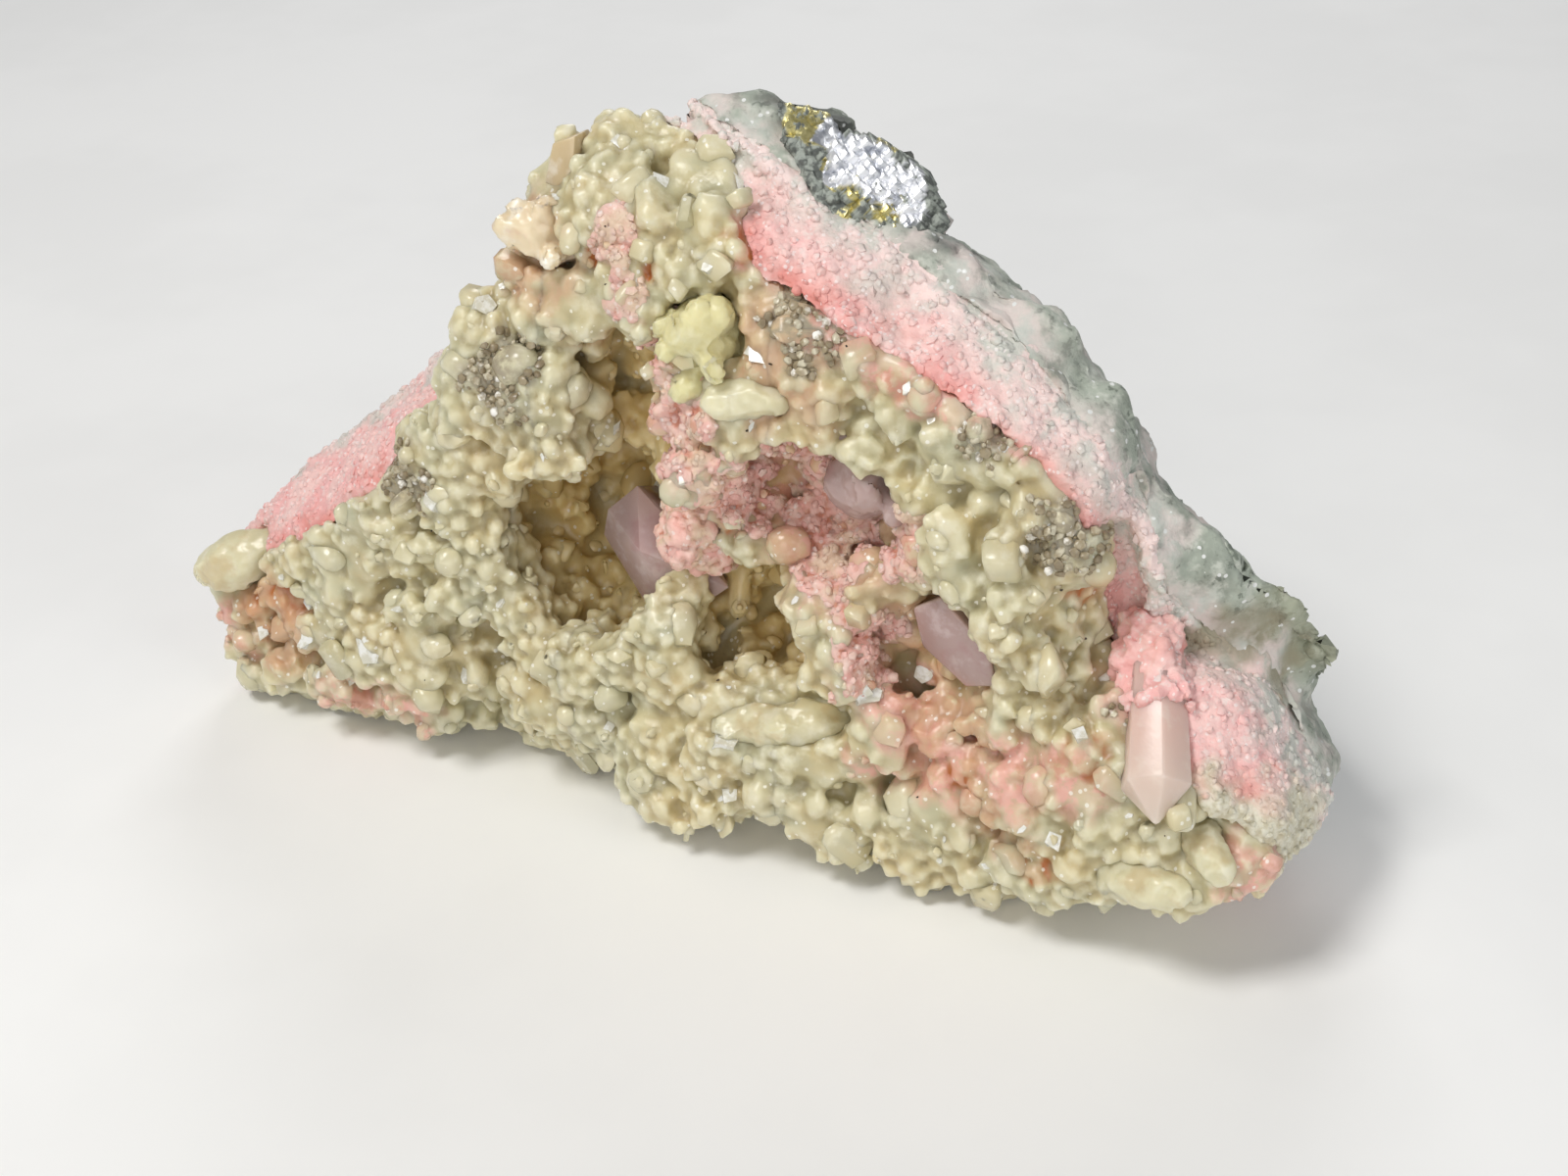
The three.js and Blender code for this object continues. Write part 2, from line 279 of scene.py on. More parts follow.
RUST = [
    ((7.2, -13.3, 52.3), 1.8), ((-5, -15.8, 49.4), 1.4), ((-0.6, -15.4, 49.6), 1.3), ((3.4, -15, 29), 2),
    ((26, -18, 13.5), 1.7), ((21, -17.6, 7.6), 1.3), ((32.4, -19, 8.2), 1.8), ((33.5, -11, 30), 3),
    ((-40.5, -19.4, 13), 2.4), ((-44, -19, 10), 2.6), ((36, -17, 18), 2), ((21, -14, 20), 2),
    ((6, -14, 38), 2), ((10, -12, 36), 2), ((38, -12, 21), 2.2), ((17, -14.4, 46), 1.3),
    ((21.6, -14.2, 43.6), 1.4),
]
BLOOM = [
    ((-12.2, -18.4, 40.2), 3.8), ((12.8, -14.5, 47.3), 3.6), ((-22.5, -19.7, 29.5), 3),
    ((32, -14, 34.5), 3.6), ((39, -14, 21), 2.4), ((2, -15, 27.5), 2), ((26, -14, 41), 2.6),
]
PEACH = [
    ((-12, -16, 50), 5), ((-8, -14, 46), 4), ((10, -14, 43.5), 6), ((18, -15, 22), 4.5), ((-42, -19, 10), 6),
    ((29, -18, 12), 4.5), ((24, -17, 16), 5), ((0, -16, 40), 4), ((12, -13, 50), 3), ((13, -13, 30), 7),
    ((22, -14, 22), 5),
]
# Painted shadow: where the gully at the right end lies in shade, the rock and the band are painted grey-brown.
GULLY_SHADOW_PATCHES = [((38.6, -7, 24), 2.2), ((40.6, -6, 24), 2.8), ((43, -4.6, 23.4), 2.8), ((44.6, -2.4, 19.5), 2.4)]
LOBE = [((47.5, -2, 24), 4.5), ((48.6, -2, 20.5), 4), ((46, -3, 26.5), 3)]
PALED = [
    ((-33.2, -8.8, 28.7), 3.4), ((-37, -9.5, 25), 3.4), ((-41, -11, 21.5), 3), ((-29, -8, 33), 3),
    ((48, -7, 15), 4.5), ((46, -7.5, 19), 3.2), ((49, -9, 12), 4), ((39.5, -6.5, 27.4), 2.6),
    ((42.5, -5, 26.4), 2.6), ((36.6, -8, 30), 2.6),
]
SUGAR = [((50, -11.5, 11), 5), ((46.5, -14.6, 12.6), 4.2), ((44, -15.6, 15.6), 2.6), ((43, -17, 13), 3)]
CAVES = [
    ((-9, -15.5, 24.5), (8, 12, 9.5)), ((0, -18.5, 27.5), (6, 8, 6.5)), ((-3.5, -17, 37), (5, 8.5, 8.5)),
    ((6.5, -15.5, 20.5), (6.5, 10, 6.5)), ((12, -18, 31.5), (9, 8, 7.5)), ((22.5, -19, 22.5), (6.5, 7, 7.5)),
]


def patch_mask(points, patches, seed):
    """From 0 to 1: how much of these patches shows at each point."""
    broken = points + np.stack([ripple(points, 3.0, seed + k) for k in range(3)], 1) * 0.7
    shown = np.zeros(len(points))
    for place, radius in patches:
        away = np.linalg.norm(broken - place, axis=1)
        shown = np.maximum(shown, 1 - ease(away, radius * 0.55, radius * 1.25))
    return shown


def cave_mask(points):
    """From 0 at the open front to 1 deep in the cavity."""
    shown = np.zeros(len(points))
    for centre, half in CAVES:
        reach = np.linalg.norm((points - centre) / half, axis=1)
        shown = np.maximum(shown, 1 - ease(reach, 1.1, 1.35))
    return shown * ease(points[:, 1], -17.5, -9)


def keep_value(piece, name, values):
    """Stores one number for each vertex, which a material reads by its name."""
    attribute = piece.data.attributes.get(name) or piece.data.attributes.new(name, "FLOAT", "POINT")
    attribute.data.foreach_set("value", np.asarray(values, np.float32))


def keep_patches(piece, **patches):
    """Stores how much of these patches shows on each vertex: name=(patches, seed)."""
    points = points_of(piece)
    for name, (places, seed) in patches.items():
        keep_value(piece, name, patch_mask(points, places, seed))


def paint_patches(piece):
    keep_patches(piece, blush=(BLUSH, 11), rust=(RUST, 21), bloom=(BLOOM, 31), peach=(PEACH, 41))
    # deep marks the hollows of the cavity, where the druse gets a warm painted light that lifts the shade
    # there.
    keep_value(piece, "deep", cave_mask(points_of(piece)))


# %% [markdown]
# ## Throwing darts
#
# To work on random spots of a surface, we throw darts at it. A new mesh may number its faces differently
# each time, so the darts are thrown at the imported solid, whose faces never change, and then slide to the
# nearest spot of the piece. There, a dart faces the way that the seven nearest vertices face together,
# which doesn't hang on how they are numbered. Each dart also carries eight lucky numbers from 0 to 1, for
# whatever needs chance.

# %% Darts
LUCK = 8
AROUND = 7


def facing_at(piece, places):
    """The way that the piece's surface faces at these places, blended from the vertices round each."""
    points, normals = points_of(piece), normals_of(piece)
    tree = KDTree(len(points))
    for k, point in enumerate(points):
        tree.insert(point, k)
    tree.balance()
    found = [tree.find_n(place, AROUND) for place in places]
    near = np.array([[vertex[1] for vertex in row] for row in found])
    away = np.array([[vertex[2] for vertex in row] for row in found])
    weight = away[:, -1:] - away + 1e-6
    blended = (normals[near] * weight[:, :, None]).sum(1)
    return blended / np.linalg.norm(blended, axis=1)[:, None]


def darts(piece, node, count, seed):
    """Random places on a piece, in millimetres, the way that it faces there, and each dart's luck."""
    draw = np.random.default_rng(seed)
    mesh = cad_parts[node].data
    corners = np.array([v.co for v in mesh.vertices]) / MM
    a, b, c = corners[[p.vertices[:] for p in mesh.polygons]].transpose(1, 0, 2)
    across = np.cross(b - a, c - a)
    area = np.linalg.norm(across, axis=1)
    picked = draw.choice(len(area), count, p=area / area.sum())
    u, v = draw.random((2, count, 1))
    u, v = np.where(u + v > 1, 1 - u, u), np.where(u + v > 1, 1 - v, v)
    away = draw.uniform(-0.5, 2.5, (count, 1)) * across[picked] / area[picked, None]
    start = a[picked] + (b - a)[picked] * u + (c - a)[picked] * v + away + draw.normal(size=(count, 3)) * 0.8
    tree = tree_of(piece)
    places = np.array([tree.find_nearest(Vector(p * MM))[0] for p in start]) / MM
    return places, facing_at(piece, places), draw.random((count, LUCK))


def bell(luck):
    """Turns even luck into the bell-shaped kind, around 0 and mostly from -1 to 1."""
    return np.log(luck / (1 - luck)) / 1.8


def only(chosen, *arrays):
    """These rows of each array, chosen by a mask or by their numbers."""
    return tuple(array[chosen] for array in arrays)


# %% [markdown]
# ## The wall rock
#
# Rock breaks along flat, shell-like faces. After the solid's copy has an even mesh, a few hundred small
# planes are laid against it, and whatever stands outside a plane near its centre is pressed flat onto it.
# Fine noise then roughens the fresh faces. The underside stays flat, because the stone lies on it.

# %% Chipping a surface flat in many places
def chip(piece, node, count, reach, depth, seed, where=None):
    """Presses count round spots of the surface flat, each onto a plane up to depth millimetres below it."""
    points, normals = points_of(piece), normals_of(piece)
    strength = np.ones(len(points)) if where is None else where
    for place, facing, luck in zip(*darts(piece, node, count, seed)):
        facing = facing + (luck[:3] - 0.5) * 0.7
        facing /= np.linalg.norm(facing)
        away = np.linalg.norm(points - place, axis=1)
        near = (away < reach * (0.6 + 0.9 * luck[3])) & (normals @ facing > 0.3)
        above = np.where(near, (points - place) @ facing + depth * (0.3 + 0.7 * luck[4]), 0)
        points -= (np.clip(above, 0, depth) * strength)[:, None] * facing
    set_points(piece, points)


def roughen(piece, layers, seed, sink=0.0):
    """Moves each vertex along its normal by noise: layers are (size, height) in millimetres."""
    points, normals = points_of(piece), normals_of(piece)
    lift = np.zeros(len(points)) - sink
    for k, (size, height) in enumerate(layers):
        lift += ripple(points, size, seed + k) * height
    lift *= ease(points[:, 2], 0.0, 1.5)
    set_points(piece, points + normals * lift[:, None])


# %% Keeping a piece in its place, and handing it over
SPARE = 1.0
SMOOTH_BELOW = math.radians(50)


def rest_on_floor(piece):
    """Keeps a piece above the floor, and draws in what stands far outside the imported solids' box."""
    points = points_of(piece)
    low, high = np.array(cad_low) / MM, np.array(cad_high) / MM
    points = np.where(points < low, low - SPARE * np.tanh((low - points) / SPARE), points)
    points = np.where(points > high, high + SPARE * np.tanh((points - high) / SPARE), points)
    points[:, 2] = np.maximum(points[:, 2], 0)
    set_points(piece, points)


def thin_hidden(piece, hidden, ratio):
    """Keeps only this share of the faces, by merging those that hidden marks, which nothing can see."""
    group = piece.vertex_groups.new(name="hidden")
    group.add(np.flatnonzero(hidden).tolist(), 1, "REPLACE")
    finish_with(piece, "DECIMATE", ratio=ratio, vertex_group="hidden")
    piece.vertex_groups.clear()


def shown(piece, slot, *nodes):
    """Hands a finished piece to the frame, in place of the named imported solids."""
    if nodes:
        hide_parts(*nodes)
    rest_on_floor(piece)
    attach(piece, "root")
    choose(piece)
    bpy.ops.object.shade_smooth_by_angle(angle=SMOOTH_BELOW)
    print(piece.name, len(piece.data.polygons), "faces")


# %% Making the wall rock
SKIN = [(9, 0.4), (3.2, 0.14), (1.4, 0.06)]
ORE_DARK = [
    ((7, -3, 59), 3.5), ((13, -2, 56.5), 4), ((18, -3, 51.5), 3.5), ((11, -2, 57), 4), ((1, -2, 60), 2.5),
]
wall = stone_from("wall_rock", "wall_rock_stone", 0.42, swell=0.3)
away = distance_to(points_of(wall), "rhodochrosite_layer")
chip(wall, "wall_rock", 420, 5.5, 0.8, seed=5, where=ease(away, 0.5, 5))
chip(wall, "wall_rock", 1800, 2.2, 0.22, seed=6, where=ease(away, 0, 2))
roughen(wall, SKIN, seed=60)
rest_on_floor(wall)
wall_points = points_of(wall)
away = distance_to(wall_points, "rhodochrosite_layer")
keep_value(wall, "contact", 1 - ease(away + ripple(wall_points, 6, 45) * 1.2, 0.2, 3.2))
# The patch in the gully at the right end is a painted shadow.
keep_patches(wall, ore_dark=(ORE_DARK, 47), earth=(GULLY_SHADOW_PATCHES, 48), lobe=(LOBE, 49))
shown(wall, "rock", "wall_rock")

# %% [markdown]
# ## The pink band
#
# Rhodochrosite grew here as a mass of tiny grains, like coarse sugar. The band gets soft swells and a
# rough skin, and the grains that stand out of it come later, with the crystals. Two values are kept for
# its finish: how near it is to the rock, where it pales, and how near to the druse, where it deepens.

# %% Making the pink band
def paint_band(piece):
    points = points_of(piece)
    fade = ripple(points, 7, 65) * 1.1 + ripple(points, 2.5, 66) * 0.5
    keep_value(piece, "near_rock", 1 - ease(distance_to(points, "wall_rock") + fade, 0.6, 6.6))
    keep_value(piece, "near_druse", 1 - ease(distance_to(points, "calcite_druse") + fade * 0.5, 0.2, 3.2))
    # The patch in the gully at the right end is a painted shadow.
    keep_patches(piece, sugar=(SUGAR, 67), earth=(GULLY_SHADOW_PATCHES, 48), lobe=(LOBE, 49), paled=(PALED, 68))


band = stone_from("rhodochrosite_layer", "rhodochrosite_band", 0.42, swell=0.3)
roughen(band, SKIN + [(0.9, 0.1)], seed=60)
rest_on_floor(band)
paint_band(band)
shown(band, "rhodochrosite", "rhodochrosite_layer")

# %% [markdown]
# ## Crystals to sow
#
# The druse is thousands of crystals of a few kinds: rounded nodules, blunt six-sided crystals and skewed
# calcite blocks. Each kind is modelled once, one unit tall with its root at the origin, with only a few
# dozen faces, and is then copied thousands of times at its own size and turn.

# %% Modelling the kinds
def loosen(amount, seed):
    """Moves the vertices of the piece in edit mode at random, and goes back to object mode."""
    bpy.ops.transform.vertex_random(offset=amount, seed=seed)
    bpy.ops.object.mode_set(mode="OBJECT")


def nodule_kind(seed):
    bpy.ops.mesh.primitive_ico_sphere_add(subdivisions=2, radius=0.5, location=(0, 0, 0.5))
    bpy.ops.object.mode_set(mode="EDIT")
    loosen(0.1, seed)


def capped_prism(radius, narrowing):
    """A six-sided prism with a blunt cap, left in edit mode with everything selected."""
    bpy.ops.mesh.primitive_cylinder_add(vertices=6, radius=radius, depth=0.8, location=(0, 0, 0.4))
    for face in bpy.context.object.data.polygons:
        face.select = face.normal.z > 0.9
    bpy.ops.object.mode_set(mode="EDIT")
    bpy.ops.mesh.select_mode(type="FACE")
    bpy.ops.mesh.extrude_region_move(TRANSFORM_OT_translate={"value": (0, 0, 0.2)})
    bpy.ops.transform.resize(value=(narrowing, narrowing, 1))
    bpy.ops.mesh.select_all(action="SELECT")


def blunt_kind(seed):
    capped_prism(0.34, 0.45)
    bpy.ops.mesh.bevel(offset=0.06, segments=1)
    loosen(0.03, seed)


def finger_kind(seed):
    capped_prism(0.4, 0.55)
    bpy.ops.transform.vertex_random(offset=0.08, seed=seed)
    bpy.ops.mesh.bevel(offset=0.06, segments=1)
    bpy.ops.object.mode_set(mode="OBJECT")


def block_kind(seed):
    bpy.ops.mesh.primitive_cube_add(size=0.72, location=(0, 0, 0.46), rotation=(0.6, 0.5, 0.2 * seed))
    bpy.ops.object.transform_apply(location=True, rotation=True, scale=True)
    bpy.ops.object.mode_set(mode="EDIT")
    bpy.ops.mesh.select_all(action="SELECT")
    bpy.ops.transform.resize(value=(0.85, 1.05, 1.15))
    bpy.ops.transform.vertex_random(offset=0.12, seed=seed)
    bpy.ops.mesh.bevel(offset=0.11, segments=1)
    loosen(0.03, seed)


def grain_kind(seed):
    bpy.ops.mesh.primitive_ico_sphere_add(subdivisions=1, radius=0.5, location=(0, 0, 0.35))
    bpy.ops.object.mode_set(mode="EDIT")
    loosen(0.16, seed)


def plate_kind(seed):
    bpy.ops.mesh.primitive_cylinder_add(vertices=4 + seed % 3, radius=0.5, depth=0.5, location=(0, 0, 0.25))
    bpy.ops.object.mode_set(mode="EDIT")
    loosen(0.18, seed)


def cleavage_kind(seed):
    bpy.ops.mesh.primitive_cube_add(size=1, location=(0, 0, 0.5))
    bpy.ops.object.mode_set(mode="EDIT")
    bpy.ops.mesh.bevel(offset=0.03, segments=1)
    bpy.ops.object.mode_set(mode="OBJECT")


def arrays_of(maker, seed):
    """Models one kind, reads its mesh as arrays and throws the piece away."""
    bpy.ops.object.select_all(action="DESELECT")
    maker(seed)
    piece = bpy.context.object
    bpy.ops.object.transform_apply(location=True, rotation=True, scale=True)
    mesh = piece.data
    corners = np.array([v.co for v in mesh.vertices])
    ring = np.array([l.vertex_index for l in mesh.loops])
    sides = np.array([p.loop_total for p in mesh.polygons])
    bpy.data.objects.remove(piece)
    return corners, ring, sides


def variants(maker, count):
    return [arrays_of(maker, seed) for seed in range(1, count + 1)]


NODULES, BLUNTS, BLOCKS = variants(nodule_kind, 4), variants(blunt_kind, 3), variants(block_kind, 3)
GRAINS, PLATES, CLEAVAGE = variants(grain_kind, 4), variants(plate_kind, 6), variants(cleavage_kind, 1)
FINGER_KINDS = variants(finger_kind, 4)
print("faces of each kind:", [len(k[0][2]) for k in (NODULES, BLUNTS, BLOCKS, GRAINS, PLATES, CLEAVAGE)])

# %% [markdown]
# ## Sowing
#
# To sow crystals evenly we take many darts, biggest crystals first, and keep a dart only if no kept one is
# too near. A grid of small boxes makes the search for neighbours quick. The kept darts then become one
# joined mesh: each crystal is a turned and stretched copy of one of the kinds.

# %% Keeping the darts apart
def spaced(places, sizes, closeness):
    """The numbers of the darts that are kept, biggest first. At a closeness of 1, they just touch."""
    cell = sizes.max() * closeness
    grid, kept = {}, []
    for i in np.argsort(-sizes, kind="stable"):
        x, y, z = (int(k) for k in places[i] // cell)
        near = [
            j
            for dx in (-1, 0, 1)
            for dy in (-1, 0, 1)
            for dz in (-1, 0, 1)
            for j in grid.get((x + dx, y + dy, z + dz), ())
        ]
        if near:
            gaps = np.linalg.norm(places[near] - places[i], axis=1)
            if (gaps < (sizes[near] + sizes[i]) * 0.5 * closeness).any():
                continue
        grid.setdefault((x, y, z), []).append(i)
        kept.append(i)
    return np.array(kept)


# %% Growing crystals on the kept darts
def turned_to(facing, spin):
    """One rotation matrix per crystal: its Z along facing, spun about it."""
    side = np.where(np.abs(facing[:, 2:]) < 0.9, [[0, 0, 1]], [[1, 0, 0]])
    x = np.cross(side, facing)
    x /= np.linalg.norm(x, axis=1)[:, None]
    y = np.cross(facing, x)
    c, s = np.cos(spin)[:, None], np.sin(spin)[:, None]
    return np.stack([x * c + y * s, y * c - x * s, facing], 2)


def grow(name, kinds, places, facing, luck, sizes, slimness, sunk, turns=None, odd=0.2):
    """One joined mesh of crystals. slimness is width over height, sunk is the share in the bed, and odd is
    how unevenly they are stretched."""
    which = (luck[:, 0] * len(kinds)).astype(int)
    if turns is None:
        turns = turned_to(facing, luck[:, 1] * 2 * math.pi)
    wide = sizes * slimness
    uneven = 1 + odd * (luck[:, 3:5] * 2 - 1)
    stretch = np.stack([wide * uneven[:, 0], wide * uneven[:, 1], sizes], 1)
    vertices, rings, sides, tips, tone = [], [], [], [], []
    start = 0
    for k, (corners, ring, side) in enumerate(kinds):
        mine = np.flatnonzero(which == k)
        local = (corners - np.array([0, 0, sunk])) * stretch[mine][:, None]
        world = np.einsum("nij,nvj->nvi", turns[mine], local) + places[mine][:, None]
        vertices.append(world.reshape(-1, 3))
        offsets = start + np.arange(len(mine)) * len(corners)
        rings.append((ring[None] + offsets[:, None]).ravel())
        sides.append(np.tile(side, len(mine)))
        tips.append(np.tile(np.clip(corners[:, 2], 0, 1), len(mine)))
        tone.append(np.repeat(luck[mine, 2], len(corners)))
        start += len(mine) * len(corners)
    vertices, rings, sides, tips, tone = map(np.concatenate, (vertices, rings, sides, tips, tone))
    return mesh_piece(name, vertices, rings, sides, {"tip": tips, "tone": tone})


def mesh_piece(name, vertices, ring, sides, values):
    """A new piece from arrays of points and faces, with one value of each name for every vertex."""
    mesh = bpy.data.meshes.new(name)
    mesh.vertices.add(len(vertices))
    mesh.vertices.foreach_set("co", (vertices * MM).astype(np.float32).ravel())
    mesh.loops.add(len(ring))
    mesh.loops.foreach_set("vertex_index", ring.astype(np.int32))
    mesh.polygons.add(len(sides))
    mesh.polygons.foreach_set("loop_start", np.concatenate([[0], np.cumsum(sides)[:-1]]).astype(np.int32))
    mesh.update(calc_edges=True)
    piece = bpy.data.objects.new(name, mesh)
    bpy.context.scene.collection.objects.link(piece)
    for key, value in values.items():
        keep_value(piece, key, value)
    return piece


def fuse(name, pieces, voxel):
    """Joins pieces and gives them one even skin, as crystals have that grew into each other."""
    bpy.ops.object.select_all(action="DESELECT")
    for piece in pieces:
        piece.select_set(True)
    bpy.context.view_layer.objects.active = pieces[0]
    bpy.ops.object.join()
    whole = bpy.context.object
    whole.name = whole.data.name = name
    finish_with(whole, "REMESH", mode="VOXEL", voxel_size=voxel * MM)
    return whole


# %% [markdown]
# ## The seam behind the band
#
# The rock and the band are fitted to each other with a hairline gap, which would show as a dark line. A
# third piece fills it: both solids fused, smoothed, and sunk a little under their surfaces where the two
# meet. Elsewhere it is drawn in towards the heart of the lump, so that it shows nowhere else.

# %% Filling the seam between the rock and the band
HEART = np.array([0, 4, 18])

halves = [stone_from("wall_rock", "core_rock", 0.8, swell=0.3),
          stone_from("rhodochrosite_layer", "core_band", 0.8, swell=0.3)]
core = fuse("seam_filling", halves, 0.8)
finish_with(core, "SMOOTH", factor=0.5, iterations=8)
core_points = points_of(core)
away = np.maximum(distance_to(core_points, "wall_rock"), distance_to(core_points, "rhodochrosite_layer"))
depth = 0.1 + 2.9 * ease(away, 0.9, 2.6)
drawn_in = (HEART - core_points) * 0.25 * ease(away, 2.5, 8)[:, None]
set_points(core, core_points - normals_of(core) * depth[:, None] + drawn_in)
roughen(core, SKIN, seed=60)
paint_band(core)
shown(core, "rhodochrosite")

# %% [markdown]
# ## Hollows and edges
#
# Hollows are painted darker, partly as dirt that gathers there and partly as painted shade, and edges get a
# paler colour. Where the average of a vertex's neighbours lies above it there is a hollow, and where it lies
# below there is an edge. Both are kept for the finishes.

# %% Measuring the bends
def bend_of(piece, rounds):
    """How far each vertex lies below the average of those around it, in millimetres: below 0 on edges."""
    mesh = piece.data
    pair = np.empty(len(mesh.edges) * 2, np.int32)
    mesh.edges.foreach_get("vertices", pair)
    one, other = pair.reshape(-1, 2).T
    points, count = points_of(piece), len(mesh.vertices)
    ends = np.bincount(pair, minlength=count).clip(1)
    soft = points.copy()
    for _ in range(rounds):
        sums = [np.bincount(one, soft[other, k], count) for k in range(3)]
        sums = [total + np.bincount(other, soft[one, k], count) for k, total in enumerate(sums)]
        soft = np.stack(sums, 1) / ends[:, None]
    return ((soft - points) * normals_of(piece)).sum(1)


def paint_bends(piece, rounds=8, hollow=0.16, edge=0.16):
    bend = bend_of(piece, rounds)
    # How hollow each vertex is: the finishes darken the hollows with it, partly as dirt and partly as painted
    # shade.
    keep_value(piece, "crease", ease(bend, 0.01, hollow))
    keep_value(piece, "tip", ease(-bend, -0.02, edge))


# %% [markdown]
# ## The druse
#
# A druse grows in generations. The bed is sunk below the solid's surface, and broad lumps stand on it.
# Smaller crystals grow over the lumps, and then everything is fused into one skin, because calcite
# crystals that grow together share their flanks. The size depends on the place: small in the deep hollow
# and on the knobbly rib, bigger along the front lip and the left slope. The big crystals get some clear
# room, above all the lavender ones.

# %% Where the crystals stand, and how big they are
LIP = [
    ((2, -20, 8), 9), ((-8, -19, 9), 6), ((12, -19, 9), 7), ((-9.5, -14, 50), 6), ((-14, -17, 40), 6),
    ((40, -19, 10), 7), ((26, -18, 6), 6), ((5, -16, 42), 5),
]
RIB = [((27, -15, 38), 6), ((28, -17, 30), 6), ((30, -17, 24), 5), ((22, -15, 36), 5)]
LAVENDER = ["lavender_upper", "lavender_block", "lavender_slab"]
BEHIND_DRUSE = ("rhodochrosite_layer", "wall_rock")
FLOOR_GAP = 0.9


def open_spots(piece, node, count, seed, neighbours, clear):
    """Darts that landed clear of the floor, and more than clear millimetres from the neighbours."""
    places, facing, luck = darts(piece, node, count, seed)
    outside = (places[:, 2] > FLOOR_GAP) & (distance_to(places, *neighbours) > clear)
    return only(outside, places, facing, luck)


def bunched(places, facing, lean, seed):
    """The surface's own direction, tilted by noise so that neighbours lean alike."""
    tilt = np.stack([ripple(places, 5, seed + k) for k in range(3)], 1)
    tilted = facing + tilt * lean
    return tilted / np.linalg.norm(tilted, axis=1)[:, None]


def size_here(places):
    """How big crystals grow at each place, around 1."""
    bigger, smaller = patch_mask(places, LIP, 103), patch_mask(places, RIB, 104)
    return 1 + 0.35 * bigger - 0.25 * smaller - 0.4 * cave_mask(places)


def grow_three(recipes, round_ones, block_limit, odd, spots, facing, luck, size):
    """Grows nodules where round_ones says, and blocks and blunt prisms elsewhere. A recipe is a name, its
    kinds, what the size is multiplied by, slimness, and sunk."""
    blocky = ~round_ones & (luck[:, 6] < block_limit)
    grown = []
    for (name, kinds, by, slimness, sunk), mine in zip(recipes, (round_ones, blocky, ~round_ones & ~blocky)):
        grown.append(grow(name, kinds, *only(mine, spots, facing, luck, size * by), slimness, sunk, odd=odd))
    return grown


# %% The bed and the lumps on it
TOO_SMALL = 1.2

bed = stone_from("calcite_druse", "druse_bed", 0.6, swell=0.2)
snug = ease(distance_to(points_of(bed), *BEHIND_DRUSE, *BIG_CRYSTALS), 0.8, 4)
roughen(bed, [(12, 0.8), (6, 0.5)], seed=80, sink=0.1 + 2.0 * snug)
spots, facing, luck = open_spots(bed, "calcite_druse", 9000, 101, BEHIND_DRUSE, 1.4)
size = (2.4 + 3.2 * luck[:, 5]) * size_here(spots)
size = np.where(distance_to(spots, *BIG_CRYSTALS) > size * 0.4 + 0.6, size, TOO_SMALL)
size = np.where(distance_to(spots, *LAVENDER) > size * 0.6 + 1.2, size, TOO_SMALL)
kept = spaced(spots, size, 0.8)
kept = kept[size[kept] > TOO_SMALL]
facing = bunched(spots, facing, 0.5, 105)
spots, facing, luck, size = only(kept, spots, facing, luck, size)
lumps = grow("druse_lumps", NODULES + BLOCKS, spots, facing, luck, size * 0.75, 1.2, 0.58, odd=0.35)
stock = fuse("druse_stock", [bed, lumps], 0.6)
print("lumps:", len(kept), "stock:", len(stock.data.polygons), "faces")

# %% The crystals on the lumps
spots, facing, luck = open_spots(stock, "calcite_druse", 60000, 111, BEHIND_DRUSE, 0.7)
size = np.clip(np.exp(0.5 + 0.35 * bell(luck[:, 5])) * size_here(spots), 0.9, 3.4)
kept = spaced(spots, size, 0.62)
kept = kept[distance_to(spots[kept], *BIG_CRYSTALS) > size[kept] * 0.2]
kept = kept[distance_to(spots[kept], *LAVENDER) > size[kept] * 0.4 + 0.3]
spots, facing, luck, size = only(kept, spots, facing, luck, size)
facing = bunched(spots, facing, 0.45, 113)
round_ones = (luck[:, 6] < 0.4) | (patch_mask(spots, RIB, 104) > 0.5)
fused_recipes = [
    ("nodules", NODULES, 1, 1.1, 0.62),
    ("blocks", BLOCKS, 1.1, 1.05, 0.6),
    ("blunts", BLUNTS, 1.45, 0.8, 0.62),
]
crystals = grow_three(fused_recipes, round_ones, 0.72, 0.3, spots, facing, luck, size)
crust = fuse("druse_crust", [stock, *crystals], 0.4)
set_points(crust, settle(points_of(crust), "calcite_druse", 0.3, 0.45))

